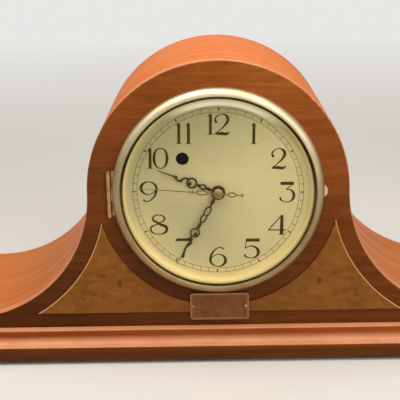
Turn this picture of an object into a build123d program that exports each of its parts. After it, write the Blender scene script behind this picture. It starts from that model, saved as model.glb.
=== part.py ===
from build123d import *

import os
from math import asin, atan2, cos, degrees, hypot, radians, sin, sqrt

# Tambour mantel clock in millimetres, +Z up, origin at the bottom centre, dial facing -Y.
# Depths are measured back from the front face, and dial positions from the dial's centre.

# Case: an arch over the dial with a concave wing on each side
arch_radius = 100.0
wing_flat = 33.0
wing_tip = 8.8
case_depth = 150.0
front_thickness = 9.5
front_edge_round = 1.0
skin_thickness = 4.0
back_thickness = 6.0
back_inset = 16.0
end_block_length = 22.0
rib_thickness = 10.0
rib_offset = 15.0

# Base: plinth, cove and top ledge, on four pads
plinth_height = 11.2
plinth_step = 1.6
cove_radius = 7.0
ledge_drop = 3.6
ledge_width = 6.9
base_back_overhang = 5.0
base_edge_round = 0.9
foot_height = 3.4
foot_radius = 9.0
foot_inset = 20.0
base_screw_pitch = 70.0
base_screw_length = 34.0
base_screw_radius = 2.2
base_screw_head = 4.2
base_screw_sink = 5.0

# Inlays and plaque on the front face
inlay_thickness = 1.5
inlay_gap = 12.3
inlay_band = 4.8
inlay_margin = 12.6
inlay_bottom_margin = 12.2
plaque_width = 46.0
plaque_height = 22.0
plaque_thickness = 1.0
plaque_corner = 2.2
plaque_gap = 1.5
plaque_pin_inset = 2.4
plaque_pin_radius = 0.6
plaque_pin_head = 1.1
plaque_pin_length = 7.0

# Bezel ring, domed glass and dial pan
bezel_radius = 80.5
bezel_rise = 8.6
crown_radius = 5.6
bezel_sheet = 1.0
lip_width = 1.1
lip_thickness = 0.8
lip_round = 0.4
face_gap = 0.3
glass_lap = 2.2
glass_thickness = 1.8
glass_rise = 7.2
glass_gap = 0.1
retainer_thickness = 1.0
rim_gap = 0.4
dial_sheet = 0.8
dish_radius = 6.0
dish_angle = 70.0
bead_radius = 0.6
dial_hole_radius = 4.2
window_x = -26.6
window_z = 26.3
window_radius = 4.9

# Bezel hinge on the left, catch and finger nub on the right
hinge_height = 35.0
knuckle_radius = 1.9
knuckle_gap = 0.4
knuckle_play = 0.2
pin_radius = 0.9
pin_head_radius = 1.4
pin_head_height = 1.0
leaf_width = 9.6
leaf_thickness = 1.2
leaf_web = 1.6
leaf_screw_spacing = 11.5
leaf_screw_inset = 2.6
tab_thickness = 1.0
tab_grip = 2.0
small_head_radius = 1.7
small_head_height = 0.7
small_shank_radius = 0.9
small_screw_length = 6.0
catch_width = 6.0
catch_height = 12.0
catch_sheet = 0.6
catch_bump = 0.8
catch_gap = 0.6
nub_reach = 2.5
nub_height = 8.7
nub_thickness = 1.5

# Movement plates and what holds them
movement_hole_radius = 55.0
plate_thickness = 1.5
plate_spacing = 26.0
plate_height = 84.0
plate_land = 9.5
movement_screw_rise = 30.0
movement_screw_land = 4.0
movement_screw_radius = 1.8
movement_screw_head = 3.5
movement_screw_length = 8.0
back_plate_width = 74.0
pillar_radius = 3.0
pillar_inset = 6.0
pillar_screw_radius = 1.5
pillar_screw_length = 8.0
screw_head_height = 1.8
dial_foot_inset = 4.0
dial_foot_radius = 2.0
dial_stud_radius = 1.2
dial_stud_length = 2.6
dial_nut_radius = 2.6
dial_nut_height = 1.6
dial_foot_angles = (90.0, 215.0, 325.0)

# Gear train: teeth and modules; a running clearance for every spindle
running_gap = 0.05
rotor_teeth = 15
second_wheel_teeth = 54
motor_module = 0.5
second_pinion_teeth = 8
third_wheel_teeth = 60
third_module = 0.5
third_pinion_teeth = 8
centre_wheel_teeth = 64
third_bearing = 60.0
cannon_teeth = 12
minute_wheel_teeth = 36
minute_pinion_teeth = 10
hour_wheel_teeth = 40
motion_module = 0.5
wheel_thickness = 1.2
pinion_overlap = 0.8

# Tooth forms: height above the pitch line in modules, tooth width in pitches
wheel_form = ((-1.0, 0.50), (0.0, 0.40), (0.9, 0.12))
pinion_form = ((-1.2, 0.40), (0.0, 0.34), (0.6, 0.16))

# Spindles, and levels measured from the front plate
second_rod_radius = 0.8
second_arbor_radius = 1.3
pivot_radius = 0.7
arbor_shake = 0.3
minute_tube_radius = 1.6
hour_pipe_radius = 2.6
third_arbor_radius = 1.1
stud_radius = 1.0
shaft_radius = 1.5
shaft_collar_radius = 3.0
shaft_collar_length = 2.0
bush_flange_radius = 3.6
bush_flange = 1.6
shoulder_radius = 2.6
shoulder_length = 3.0
shoulder_start = 1.4
clutch_spring_radius = 5.5
clutch_spring_sheet = 0.3
clutch_spring_rise = 0.8
clutch_collar_radius = 3.2
clutch_collar_length = 2.0
third_level = 13.2
second_level = 19.0
cannon_level = 3.4
hour_level = 6.4

# Hands: set as the photo shows them, the hour hand a little ahead
minute_reading = 35.03
hour_reading = 9.72
second_reading = 45.83
hand_sheet = 0.6
second_hand_sheet = 0.4
hour_hand_level = 2.4
minute_hand_level = 4.4
second_hand_level = 6.2
hand_boss = 0.2
second_boss = 0.4

minute_hand_length = 65.2
hour_hand_length = 49.4
second_hand_length = 60.0
minute_hub_radius = 5.2
hour_hub_radius = 5.4
second_hub_radius = 3.9
link_width = 1.3
minutes_per_turn = 60
hours_per_turn = 12

# Hand shapes in shares of the hand's length: along it, across it, half length, half width
minute_shapes = (
    (0.122, -0.004, 0.040, 0.022),
    (0.252, 0.0, 0.070, 0.040),
    (0.350, 0.0, 0.062, 0.038),
    (0.440, 0.0, 0.026, 0.020),
    (0.473, 0.0, 0.016, 0.022),
    (0.553, 0.0, 0.060, 0.060),
    (0.636, -0.006, 0.014, 0.030),
)
minute_piercings = ((0.252, 0.0, 0.050, 0.023), (0.350, 0.0, 0.042, 0.021), (0.553, 0.0, 0.042, 0.042))
minute_dots = ((0.566, 0.016, 0.024, 0.024),)
hour_shapes = (
    (0.150, 0.0, 0.040, 0.026),
    (0.245, 0.0, 0.060, 0.046),
    (0.314, 0.0, 0.024, 0.026),
    (0.430, 0.0, 0.086, 0.086),
    (0.597, 0.036, 0.020, 0.014),
    (0.686, 0.004, 0.022, 0.028),
)
hour_piercings = ((0.248, 0.0, 0.038, 0.024), (0.430, 0.0, 0.060, 0.060))
hour_dots = ((0.458, 0.022, 0.031, 0.031),)
second_shapes = (
    (-0.175, 0.0, 0.060, 0.034),
    (-0.300, 0.0, 0.022, 0.022),
    (0.205, 0.0, 0.080, 0.036),
    (0.325, 0.0, 0.010, 0.030),
)
second_piercings = ((-0.175, 0.0, 0.042, 0.018), (0.205, 0.0, 0.056, 0.018))

# Hand blades in shares of the hand's length, root and pointer: along it, half width
minute_blades = (((0.0, 0.010), (0.50, 0.010)), ((0.73, 0.008), (0.79, 0.006), (1.0, 0.003)))
hour_blades = (((0.0, 0.012), (0.36, 0.012)), ((0.69, 0.010), (0.76, 0.009), (1.0, 0.004)))
second_blades = (((-0.29, 0.0075), (0.33, 0.0075), (1.0, 0.0033)),)

# Curled links from a hand's ring to its pointer in shares of its length: along it, across it
minute_link = ((0.602, -0.012), (0.640, -0.006), (0.680, 0.022), (0.720, 0.010), (0.760, 0.0))
hour_link = ((0.500, -0.034), (0.573, -0.020), (0.612, 0.026), (0.655, 0.034), (0.688, 0.004), (0.735, 0.0))

# Motor behind the back plate
can_radius = 11.0
can_length = 21.5
can_neck_radius = 4.0
rotor_shaft_radius = 1.0
rotor_shaft_depth = 6.0
core_stack = 12.0
core_width = 41.0
core_leg = 8.0
core_yoke = 12.0
core_gap = 0.5
pole_slot = 4.0
spacer_length = 5.5
spacer_radius = 2.5
motor_screw_radius = 1.5
bobbin_wall = 1.0
bobbin_flange = 1.2
bobbin_gap = 0.2
winding_depth = 6.0
flange_lip = 1.0
coil_clearance = 2.0

# Setting knob, indicator flag and reset knob
indicator_x = -24.0
flag_sheet = 0.6
flag_gap = 0.8
flag_margin = 1.3
flag_step = 28.0
flag_arm_width = 3.0
flag_hub_radius = 3.5
knob_gap = 0.6
set_knob_radius = 9.0
set_knob_height = 10.0
reset_knob_radius = 6.5
reset_knob_height = 8.0
knob_flutes = 18
flute_radius = 0.9

# Back cover
access_radius = 60.0
cover_lap = 10.0
cover_thickness = 3.0
cover_screw_count = 6
cover_screw_radius = 1.5
cover_screw_head = 3.2
cover_screw_length = 7.0
gland_drop = 44.0
gland_bore = 3.2
gland_body = 5.0
gland_flange = 7.5
gland_flange_height = 2.0
vent_count = 7
vent_pitch = 9.0
vent_width = 3.0
vent_length = 22.0
vent_rise = 34.0

# Places that follow from the sizes above
inlay_radius = bezel_radius + inlay_gap
dial_rise = inlay_radius + inlay_band + inlay_bottom_margin
wing_radius = dial_rise - wing_tip
wing_x = arch_radius + wing_radius
case_end = wing_x + wing_flat
overhang = ledge_width + cove_radius + plinth_step
base_height = plinth_height + cove_radius + ledge_drop
base_half = case_end + overhang
base_rear = (overhang + case_depth + base_back_overhang) / 2
base_front = -base_rear
face_y = base_front + overhang
base_top = foot_height + base_height
dial_z = base_top + dial_rise
back_rear = case_depth - back_inset
back_front = back_rear - back_thickness
cover_rear = back_rear + cover_thickness
rib_x = arch_radius + rib_offset

crown_r = bezel_radius - crown_radius
crown_u = crown_radius - bezel_rise
inner_crown = crown_radius - bezel_sheet
sight_radius = crown_r - lip_width
lip_seat = lip_round + lip_thickness - bezel_rise
glass_radius = sight_radius + glass_lap
glass_sphere = (glass_radius**2 + glass_rise**2) / (2 * glass_rise)
glass_apex = lip_seat + glass_gap - glass_sphere + sqrt(glass_sphere**2 - sight_radius**2)
rim_radius = sight_radius - rim_gap
dish_centre_u = -dial_sheet - dish_radius
bead_r = rim_radius - bead_radius
dial_flat_radius = bead_r - (dish_radius + dial_sheet / 2) * sin(radians(dish_angle))

hinge_x = -(bezel_radius + knuckle_gap + knuckle_radius)
hinge_u = -(knuckle_radius + knuckle_gap)
hinge_third = hinge_height / 3
case_knuckle = hinge_third - knuckle_play / 2
bezel_knuckle = hinge_third - knuckle_play
leaf_left = hinge_x - knuckle_radius
leaf_screw_x = leaf_left + leaf_width - leaf_screw_inset
leaf_screws_at = [(leaf_screw_x, step * leaf_screw_spacing) for step in (-1, 0, 1)]
catch_outer = bezel_radius - bezel_sheet - catch_gap
catch_screw_at = [(catch_outer - catch_width + small_head_radius + knuckle_gap, 0)]
inlay_drop = dial_rise - inlay_bottom_margin
plaque_z = -(bezel_radius + plaque_gap + plaque_height / 2)
plaque_pins_at = [(side * (plaque_width / 2 - plaque_pin_inset), plaque_z) for side in (-1, 1)]

plate_front = front_thickness
plate_back = plate_front + plate_thickness
rear_plate_front = plate_back + plate_spacing
rear_plate_back = rear_plate_front + plate_thickness
movement_screw_x = movement_hole_radius + movement_screw_land
front_plate_width = 2 * (movement_hole_radius + plate_land)
movement_screws_at = [
    (side * movement_screw_x, level * movement_screw_rise) for side in (-1, 1) for level in (-1, 1)
]
pillars_at = [
    (side * (back_plate_width / 2 - pillar_inset), level * (plate_height / 2 - pillar_inset))
    for side in (-1, 1)
    for level in (-1, 1)
]
dial_foot_circle = plate_height / 2 - dial_foot_inset
dial_feet_at = [
    (dial_foot_circle * cos(radians(bearing)), dial_foot_circle * sin(radians(bearing)))
    for bearing in dial_foot_angles
]

rotor_distance = motor_module * (rotor_teeth + second_wheel_teeth) / 2
third_distance = third_module * (second_pinion_teeth + third_wheel_teeth) / 2
centre_module = 2 * third_distance / (third_pinion_teeth + centre_wheel_teeth)
motion_distance = motion_module * (cannon_teeth + minute_wheel_teeth) / 2
hour_module = 2 * motion_distance / (minute_pinion_teeth + hour_wheel_teeth)
centre_at = (0.0, 0.0)
rotor_at = (0.0, -rotor_distance)
third_at = (third_distance * cos(radians(third_bearing)), third_distance * sin(radians(third_bearing)))
minute_wheel_at = (motion_distance, 0.0)
set_at = (2 * motion_distance, 0.0)
indicator_at = (indicator_x, 0.0)

shoulder_end = plate_back + shoulder_start + shoulder_length
centre_front = shoulder_end + arbor_shake
centre_back = centre_front + wheel_thickness
collar_front = centre_back + 2 * running_gap + clutch_spring_rise + clutch_spring_sheet
tube_end = collar_front + clutch_collar_length + arbor_shake
third_front = plate_back + third_level
third_back = third_front + wheel_thickness
second_front = plate_back + second_level
second_back = second_front + wheel_thickness
cannon_back = plate_front - cannon_level
cannon_front = cannon_back - wheel_thickness
hour_back = plate_front - hour_level
hour_front = hour_back - wheel_thickness

core_front = rear_plate_back + spacer_length
core_back = core_front + core_stack
core_top = rotor_at[1] + can_radius
window_top = rotor_at[1] - can_radius - core_gap - flange_lip
coil_half = core_yoke / 2 + bobbin_gap + bobbin_wall + winding_depth + flange_lip
yoke_z = -plate_height / 2 - coil_clearance - coil_half
window_bottom = yoke_z + core_yoke / 2
window_half = core_width / 2 - core_leg
bobbin_half = window_half - bobbin_gap
core_mid = (core_front + core_back) / 2
motor_screws_at = [
    (side * (core_width - core_leg) / 2, (window_top + rotor_at[1]) / 2 - can_radius / 2) for side in (-1, 1)
]

flag_radius = hypot(window_x - indicator_x, window_z)
flag_bearing = degrees(atan2(window_z, window_x - indicator_x))
flag_zone = window_radius + flag_margin
flag_half_angle = degrees(asin(flag_zone / flag_radius))
flag_back = flag_gap + flag_sheet
cover_radius = access_radius + cover_lap
cover_screw_circle = access_radius + cover_lap / 2
gland_at = [(0.0, -gland_drop)]


def dial_plane(depth, at=(0.0, 0.0)):
    """Upright plane at a depth behind the front face, facing the viewer; centred on the dial or a place on it."""
    return Plane(origin=(at[0], face_y + depth, dial_z + at[1]), x_dir=(1, 0, 0), z_dir=(0, -1, 0))


def turning_plane(at=(0.0, 0.0)):
    """Level plane through a spindle: local x is the radius and local y the depth."""
    return Plane(origin=(at[0], face_y, dial_z + at[1]), x_dir=(1, 0, 0), z_dir=(0, 0, 1))


def hand_plane(reading, full_turn, depth):
    """Plane of a hand whose local x runs along the hand at its reading on the dial."""
    turn = radians(360 * reading / full_turn)
    return Plane(origin=(0, face_y + depth, dial_z), x_dir=(sin(turn), 0, cos(turn)), z_dir=(0, -1, 0))


def hinge_plane(level):
    """Level plane through the hinge axis, at a height from the dial's centre."""
    return Plane((hinge_x, face_y + hinge_u, dial_z + level))


def spindle_axis(at):
    """Axis of a spindle that runs front to back at a place on the dial."""
    return Axis((at[0], face_y, dial_z + at[1]), (0, 1, 0))


def turned(at, *sections):
    """Half section of a turned piece from rings of (inner radius, outer radius, front, back)."""
    with BuildSketch(turning_plane(at)) as half:
        for inner, outer, front, back in sections:
            with Locations(((inner + outer) / 2, (front + back) / 2)):
                Rectangle(outer - inner, back - front)
    return half.sketch


def discs(places, radius, depth):
    """Round outlines at several places on the dial, drawn at one depth."""
    with BuildSketch(dial_plane(depth)) as outline:
        with Locations(*places):
            Circle(radius)
    return outline.sketch


def box_outline(places, width, height, depth):
    """Rectangular outlines at several places on the dial, drawn at one depth."""
    with BuildSketch(dial_plane(depth)) as outline:
        with Locations(*places):
            Rectangle(width, height)
    return outline.sketch


def screws(places, head_radius, head_height, shank_radius, shank_length, seat, side):
    """Slotted screws along the depth; side is 1 with the heads behind the seat, -1 in front."""
    head_back = max(seat, seat + side * head_height)
    shank_back = max(seat, seat - side * shank_length)
    slot_back = head_back if side > 0 else head_back - head_height / 2
    with BuildPart() as group:
        extrude(discs(places, head_radius, head_back), amount=head_height)
        extrude(discs(places, shank_radius, shank_back), amount=shank_length)
        slots = box_outline(places, 2 * head_radius, head_radius / 3, slot_back)
        extrude(slots, amount=head_height / 2, mode=Mode.SUBTRACT)
    return group


def case_outline(inset):
    """Closed outline of the case front, moved in by the inset along the arch and wings."""
    arch = arch_radius - inset
    wing = wing_radius + inset
    with BuildLine() as line:
        Polyline((-wing_x, -wing), (-case_end, -wing), (-case_end, -dial_rise))
        Line((-case_end, -dial_rise), (case_end, -dial_rise))
        Polyline((case_end, -dial_rise), (case_end, -wing), (wing_x, -wing))
        CenterArc((wing_x, 0), wing, 270, -90)
        CenterArc((0, 0), arch, 0, 180)
        CenterArc((-wing_x, 0), wing, 0, -90)
    return line.line


def moulding(outer, inward):
    """Edge of the base from its foot to its top ledge; inward is 1 or -1 along the plane."""

    def at(step, height):
        return (outer + inward * step, foot_height + height)

    def round_over(step, height):
        bend = base_edge_round * (1 - sqrt(0.5))
        start, middle = at(step, height - base_edge_round), at(step + bend, height - bend)
        ThreePointArc(start, middle, at(step + base_edge_round, height))

    cove_low = (plinth_step, plinth_height)
    cove_high = (plinth_step + cove_radius, plinth_height + cove_radius)
    hollow = cove_radius * sqrt(0.5)
    with BuildLine() as line:
        Line(at(0, 0), at(0, plinth_height - base_edge_round))
        round_over(0, plinth_height)
        Line(at(base_edge_round, plinth_height), at(*cove_low))
        ThreePointArc(at(*cove_low), at(cove_low[0] + hollow, cove_high[1] - hollow), at(*cove_high))
        Line(at(*cove_high), at(cove_high[0], base_height - base_edge_round))
        round_over(cove_high[0], base_height)
    return line.line


def gear_outline(at, teeth, module, phase, form, depth):
    """Outline of a gear with straight-flanked teeth; one tooth is centred on the phase bearing."""
    pitch = 360 / teeth
    flank = [(module * (teeth / 2 + height), width * pitch / 2) for height, width in form]
    points = []
    for tooth in range(teeth):
        bearing = phase + tooth * pitch
        for radius, half_width in flank:
            points.append((radius, bearing - half_width))
        for radius, half_width in reversed(flank):
            points.append((radius, bearing + half_width))
    with BuildSketch(dial_plane(depth)) as outline:
        with BuildLine():
            Polyline(
                *[(at[0] + r * cos(radians(a)), at[1] + r * sin(radians(a))) for r, a in points],
                close=True,
            )
        make_face()
    return outline.sketch


def meshed(phase, teeth, bearing, mate_teeth):
    """Phase of a mating gear that lies at a bearing from a gear with the given phase."""
    share = (bearing - phase) * teeth / 360
    return bearing + 180 - (0.5 - share) * 360 / mate_teeth


def edge_curve(radius_out, reach):
    """Depth of a glass face at a radius; reach is the sphere's radius on that face."""
    return glass_apex + glass_sphere - sqrt(reach**2 - radius_out**2)


# Base board: the front and end mouldings meet in mitres
ledge_in = plinth_step + cove_radius + base_edge_round
with BuildPart() as base_board:
    with BuildSketch(Plane.YZ):
        add(moulding(base_front, 1))
        with BuildLine():
            Polyline((base_front + ledge_in, base_top), (base_rear, base_top), (base_rear, foot_height))
            Line((base_rear, foot_height), (base_front, foot_height))
        make_face()
    extrude(amount=base_half, both=True)
    with BuildSketch(Plane.XZ):
        add(moulding(-base_half, 1))
        add(moulding(base_half, -1))
        with BuildLine():
            Line((-base_half + ledge_in, base_top), (base_half - ledge_in, base_top))
            Line((-base_half, foot_height), (base_half, foot_height))
        make_face()
    extrude(amount=base_rear, both=True, mode=Mode.INTERSECT)
    with BuildSketch(Plane.XY.offset(foot_height)):
        with GridLocations(2 * rib_x, base_screw_pitch, 2, 2):
            Circle(base_screw_head + running_gap)
    extrude(amount=base_screw_sink, mode=Mode.SUBTRACT)
    with BuildSketch(Plane.XY.offset(foot_height)):
        with GridLocations(2 * rib_x, base_screw_pitch, 2, 2):
            Circle(base_screw_radius + running_gap)
    extrude(amount=base_height, mode=Mode.SUBTRACT)

with BuildPart() as foot_pads:
    with BuildSketch():
        with GridLocations(2 * (base_half - foot_inset), 2 * (base_rear - foot_inset), 2, 2):
            Circle(foot_radius)
    extrude(amount=foot_height)

with BuildPart() as base_screws:
    with BuildSketch(Plane.XY.offset(foot_height + base_screw_sink - screw_head_height)):
        with GridLocations(2 * rib_x, base_screw_pitch, 2, 2):
            Circle(base_screw_head)
    extrude(amount=screw_head_height)
    with BuildSketch(Plane.XY.offset(foot_height + base_screw_sink)):
        with GridLocations(2 * rib_x, base_screw_pitch, 2, 2):
            Circle(base_screw_radius)
    extrude(amount=base_screw_length)

# Front panel with the movement hole, the hinge recess and pilot holes
with BuildPart() as front_panel:
    with BuildSketch(dial_plane(front_thickness)):
        add(case_outline(0))
        make_face()
        Circle(movement_hole_radius, mode=Mode.SUBTRACT)
    extrude(amount=front_thickness)
    front_rim = front_panel.faces().sort_by(Axis.Y)[0].outer_wire().edges()
    fillet([edge for edge in front_rim if edge.center().Z > base_top + running_gap], front_edge_round)
    leaf_recess = box_outline([(leaf_left + leaf_width / 2, 0)], leaf_width, hinge_height, leaf_thickness)
    extrude(leaf_recess, amount=leaf_thickness, mode=Mode.SUBTRACT)
    pilot_back = leaf_thickness + small_screw_length
    pilots = discs(leaf_screws_at + catch_screw_at, small_shank_radius + running_gap, pilot_back)
    extrude(pilots, amount=pilot_back, mode=Mode.SUBTRACT)
    bores = discs(movement_screws_at, movement_screw_radius + running_gap, front_thickness)
    extrude(bores, amount=movement_screw_length, mode=Mode.SUBTRACT)
    pin_holes = discs(plaque_pins_at, plaque_pin_radius + running_gap, plaque_pin_length)
    extrude(pin_holes, amount=plaque_pin_length, mode=Mode.SUBTRACT)

# Bent top skin behind the front panel, and what stiffens it
with BuildPart() as case_skin:
    with BuildSketch(dial_plane(case_depth)):
        add(case_outline(0))
        make_face()
        add(case_outline(skin_thickness))
        make_face(mode=Mode.SUBTRACT)
    extrude(amount=case_depth - front_thickness)

block_height = wing_tip - skin_thickness
with BuildPart() as end_blocks:
    block_places = [
        (side * (case_end - end_block_length / 2), block_height / 2 - dial_rise) for side in (-1, 1)
    ]
    ends = box_outline(block_places, end_block_length, block_height, case_depth)
    extrude(ends, amount=case_depth - front_thickness)

with BuildPart() as case_ribs:
    for side in (-1, 1):
        with BuildSketch(dial_plane(back_front)):
            add(case_outline(skin_thickness))
            make_face()
            with Locations((side * rib_x, -dial_rise)):
                Rectangle(rib_thickness, 2 * dial_rise, mode=Mode.INTERSECT)
        extrude(amount=back_front - front_thickness)
    with BuildSketch(Plane.XY.offset(base_top)):
        with GridLocations(2 * rib_x, base_screw_pitch, 2, 2):
            Circle(base_screw_radius + running_gap)
    extrude(amount=base_screw_length, mode=Mode.SUBTRACT)

# Back panel and its round cover
cover_screws_at = [
    (cover_screw_circle * cos(radians(turn)), cover_screw_circle * sin(radians(turn)))
    for turn in [30 + 360 * step / cover_screw_count for step in range(cover_screw_count)]
]
shafts_at = [set_at, indicator_at]
with BuildPart() as back_panel:
    with BuildSketch(dial_plane(back_rear)):
        add(case_outline(skin_thickness))
        make_face()
        Rectangle(2 * (case_end - end_block_length), 2 * (dial_rise + arch_radius), mode=Mode.INTERSECT)
        Circle(access_radius, mode=Mode.SUBTRACT)
        with Locations(*cover_screws_at):
            Circle(cover_screw_radius + running_gap, mode=Mode.SUBTRACT)
    extrude(amount=back_thickness)

with BuildPart() as back_cover:
    with BuildSketch(dial_plane(cover_rear)):
        Circle(cover_radius)
        with Locations(*shafts_at):
            Circle(shaft_radius + running_gap, mode=Mode.SUBTRACT)
        with Locations(*gland_at):
            Circle(gland_body, mode=Mode.SUBTRACT)
        with Locations(*cover_screws_at):
            Circle(cover_screw_radius + running_gap, mode=Mode.SUBTRACT)
        with Locations((0, vent_rise)):
            with GridLocations(vent_pitch, vent_pitch, vent_count, 1):
                SlotOverall(vent_length, vent_width, rotation=90, mode=Mode.SUBTRACT)
    extrude(amount=cover_thickness)

back_cover_screws = screws(
    cover_screws_at, cover_screw_head, screw_head_height, cover_screw_radius, cover_screw_length, cover_rear, 1
)

with BuildPart() as cord_bush:
    gland_in = back_rear - gland_flange_height
    gland_out = cover_rear + gland_flange_height
    revolve(
        turned(
            gland_at[0],
            (gland_bore, gland_flange, gland_in, back_rear),
            (gland_bore, gland_body, back_rear, cover_rear),
            (gland_bore, gland_flange, cover_rear, gland_out),
        ),
        axis=spindle_axis(gland_at[0]),
    )


def make_inlay(side):
    """Burl inlay on one side, between the bezel band, the wing margin and its bottom line."""
    with BuildPart() as piece:
        with BuildSketch(dial_plane(0)):
            with Locations((side * wing_x / 2, -inlay_drop / 2)):
                Rectangle(wing_x, inlay_drop)
            Circle(inlay_radius, mode=Mode.SUBTRACT)
            with Locations((side * wing_x, 0)):
                Circle(wing_radius + inlay_margin, mode=Mode.SUBTRACT)
            with Locations(*plaque_pins_at):
                Circle(plaque_pin_radius + running_gap, mode=Mode.SUBTRACT)
        extrude(amount=inlay_thickness)
    return piece


inlay_left = make_inlay(-1)
inlay_right = make_inlay(1)

with BuildPart() as plaque:
    with BuildSketch(dial_plane(-inlay_thickness)):
        with Locations((0, plaque_z)):
            RectangleRounded(plaque_width, plaque_height, plaque_corner)
        with Locations(*plaque_pins_at):
            Circle(plaque_pin_radius + running_gap, mode=Mode.SUBTRACT)
    extrude(amount=plaque_thickness)

plaque_face = -inlay_thickness - plaque_thickness
with BuildPart() as plaque_pins:
    extrude(discs(plaque_pins_at, plaque_pin_head, plaque_face), amount=plaque_pin_head)
    heads = plaque_pins.faces().filter_by(Axis.Y).group_by(Axis.Y)[0].edges()
    fillet(heads, plaque_pin_head * 0.8)
    shanks = discs(plaque_pins_at, plaque_pin_radius, plaque_face + plaque_pin_length)
    extrude(shanks, amount=plaque_pin_length)

# Dial pan: a flat plate with a dished margin and a rolled rim
dish_turn = radians(dish_angle)
dish_out = dish_radius + dial_sheet
with BuildPart() as dial:
    with BuildSketch(turning_plane()):
        with BuildLine():
            Line((dial_hole_radius, 0), (dial_flat_radius, 0))
            CenterArc((dial_flat_radius, dish_centre_u), dish_out, 90, -dish_angle)
            CenterArc((dial_flat_radius, dish_centre_u), dish_radius, 90, -dish_angle)
            Line(
                (dial_flat_radius + dish_out * sin(dish_turn), dish_centre_u + dish_out * cos(dish_turn)),
                (dial_flat_radius + dish_radius * sin(dish_turn), dish_centre_u + dish_radius * cos(dish_turn)),
            )
            Polyline((dial_flat_radius, -dial_sheet), (dial_hole_radius, -dial_sheet), (dial_hole_radius, 0))
        make_face()
        with Locations((bead_r, dish_centre_u + (dish_radius + dial_sheet / 2) * cos(dish_turn))):
            Circle(bead_radius)
    revolve(axis=spindle_axis(centre_at))
    extrude(discs([(window_x, window_z)], window_radius, 0), amount=dial_sheet, mode=Mode.SUBTRACT)

with BuildPart() as dial_feet:
    extrude(discs(dial_feet_at, dial_foot_radius, plate_front), amount=plate_front)
    stud_back = plate_back + dial_stud_length
    extrude(discs(dial_feet_at, dial_stud_radius, stud_back), amount=stud_back - plate_front)

with BuildPart() as dial_nuts:
    with BuildSketch(dial_plane(plate_back + dial_nut_height)):
        with Locations(*dial_feet_at):
            RegularPolygon(dial_nut_radius, 6)
            Circle(dial_stud_radius + running_gap, mode=Mode.SUBTRACT)
    extrude(amount=dial_nut_height)

# Bezel: a spun ring, the domed glass and the ring that holds it
with BuildPart() as bezel_ring:
    with BuildSketch(turning_plane()):
        with BuildLine():
            Polyline(
                (crown_r + inner_crown, crown_u),
                (crown_r + inner_crown, -face_gap),
                (bezel_radius, -face_gap),
                (bezel_radius, crown_u),
            )
            CenterArc((crown_r, crown_u), crown_radius, 0, -90)
            Polyline(
                (crown_r, -bezel_rise),
                (sight_radius, lip_round - bezel_rise),
                (sight_radius, lip_seat),
                (crown_r, bezel_sheet - bezel_rise),
            )
            CenterArc((crown_r, crown_u), inner_crown, 0, -90)
        make_face()
    revolve(axis=spindle_axis(centre_at))
    with BuildSketch(hinge_plane(-bezel_knuckle / 2)):
        with Locations((bezel_radius / 4, 0)):
            Rectangle(bezel_radius / 2, tab_thickness)
    extrude(amount=bezel_knuckle, mode=Mode.SUBTRACT)

glass_back_sphere = glass_sphere - glass_thickness
glass_back_edge = edge_curve(glass_radius, glass_back_sphere)
with BuildPart() as bezel_glass:
    with BuildSketch(turning_plane()):
        with BuildLine():
            front_apex = (0, edge_curve(0, glass_sphere))
            front_middle = (glass_radius / 2, edge_curve(glass_radius / 2, glass_sphere))
            front_edge = (glass_radius, edge_curve(glass_radius, glass_sphere))
            ThreePointArc(front_apex, front_middle, front_edge)
            Line(front_edge, (glass_radius, glass_back_edge))
            back_middle = (glass_radius / 2, edge_curve(glass_radius / 2, glass_back_sphere))
            back_apex = (0, edge_curve(0, glass_back_sphere))
            ThreePointArc((glass_radius, glass_back_edge), back_middle, back_apex)
            Line(back_apex, front_apex)
        make_face()
    revolve(axis=spindle_axis(centre_at))

retainer_front = glass_back_edge + running_gap
retainer_reach = crown_r + sqrt(inner_crown**2 - (retainer_front - crown_u) ** 2) - face_gap
with BuildPart() as glass_retainer:
    section = (sight_radius, retainer_reach, retainer_front, retainer_front + retainer_thickness)
    revolve(turned(centre_at, section), axis=spindle_axis(centre_at))

with BuildPart() as bezel_nub:
    with BuildSketch(dial_plane(-2 * face_gap)):
        with Locations((bezel_radius, 0)):
            Ellipse(nub_reach, nub_height / 2)
        Circle(bezel_radius, mode=Mode.SUBTRACT)
    extrude(amount=nub_thickness)

# Bezel hinge, its pin and the small screws, and the catch opposite
tab_length = knuckle_radius + knuckle_gap + bezel_sheet + tab_grip
with BuildPart() as hinge_bezel_leaf:
    with BuildSketch(hinge_plane(-bezel_knuckle / 2)):
        Circle(knuckle_radius)
        with Locations((tab_length / 2, 0)):
            Rectangle(tab_length, tab_thickness)
        Circle(pin_radius + running_gap, mode=Mode.SUBTRACT)
    extrude(amount=bezel_knuckle)

with BuildPart() as hinge_case_leaf:
    leaf = box_outline([(leaf_left + leaf_width / 2, 0)], leaf_width, hinge_height, leaf_thickness)
    extrude(leaf, amount=leaf_thickness)
    for low_end in (-hinge_height / 2, hinge_height / 2 - case_knuckle):
        with BuildSketch(hinge_plane(low_end)):
            Circle(knuckle_radius)
            with Locations((0, -hinge_u / 2)):
                Rectangle(leaf_web, -hinge_u)
        extrude(amount=case_knuckle)
    with BuildSketch(hinge_plane(-hinge_height / 2)):
        Circle(pin_radius)
    extrude(amount=hinge_height, mode=Mode.SUBTRACT)
    heads = discs(leaf_screws_at, small_head_radius + running_gap, small_head_height)
    extrude(heads, amount=small_head_height, mode=Mode.SUBTRACT)
    shanks = discs(leaf_screws_at, small_shank_radius + running_gap, leaf_thickness)
    extrude(shanks, amount=leaf_thickness, mode=Mode.SUBTRACT)

with BuildPart() as hinge_pin:
    with BuildSketch(hinge_plane(-hinge_height / 2)):
        Circle(pin_radius)
    extrude(amount=hinge_height)
    for low_end in (-hinge_height / 2 - pin_head_height, hinge_height / 2):
        with BuildSketch(hinge_plane(low_end)):
            Circle(pin_head_radius)
        extrude(amount=pin_head_height)

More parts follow.
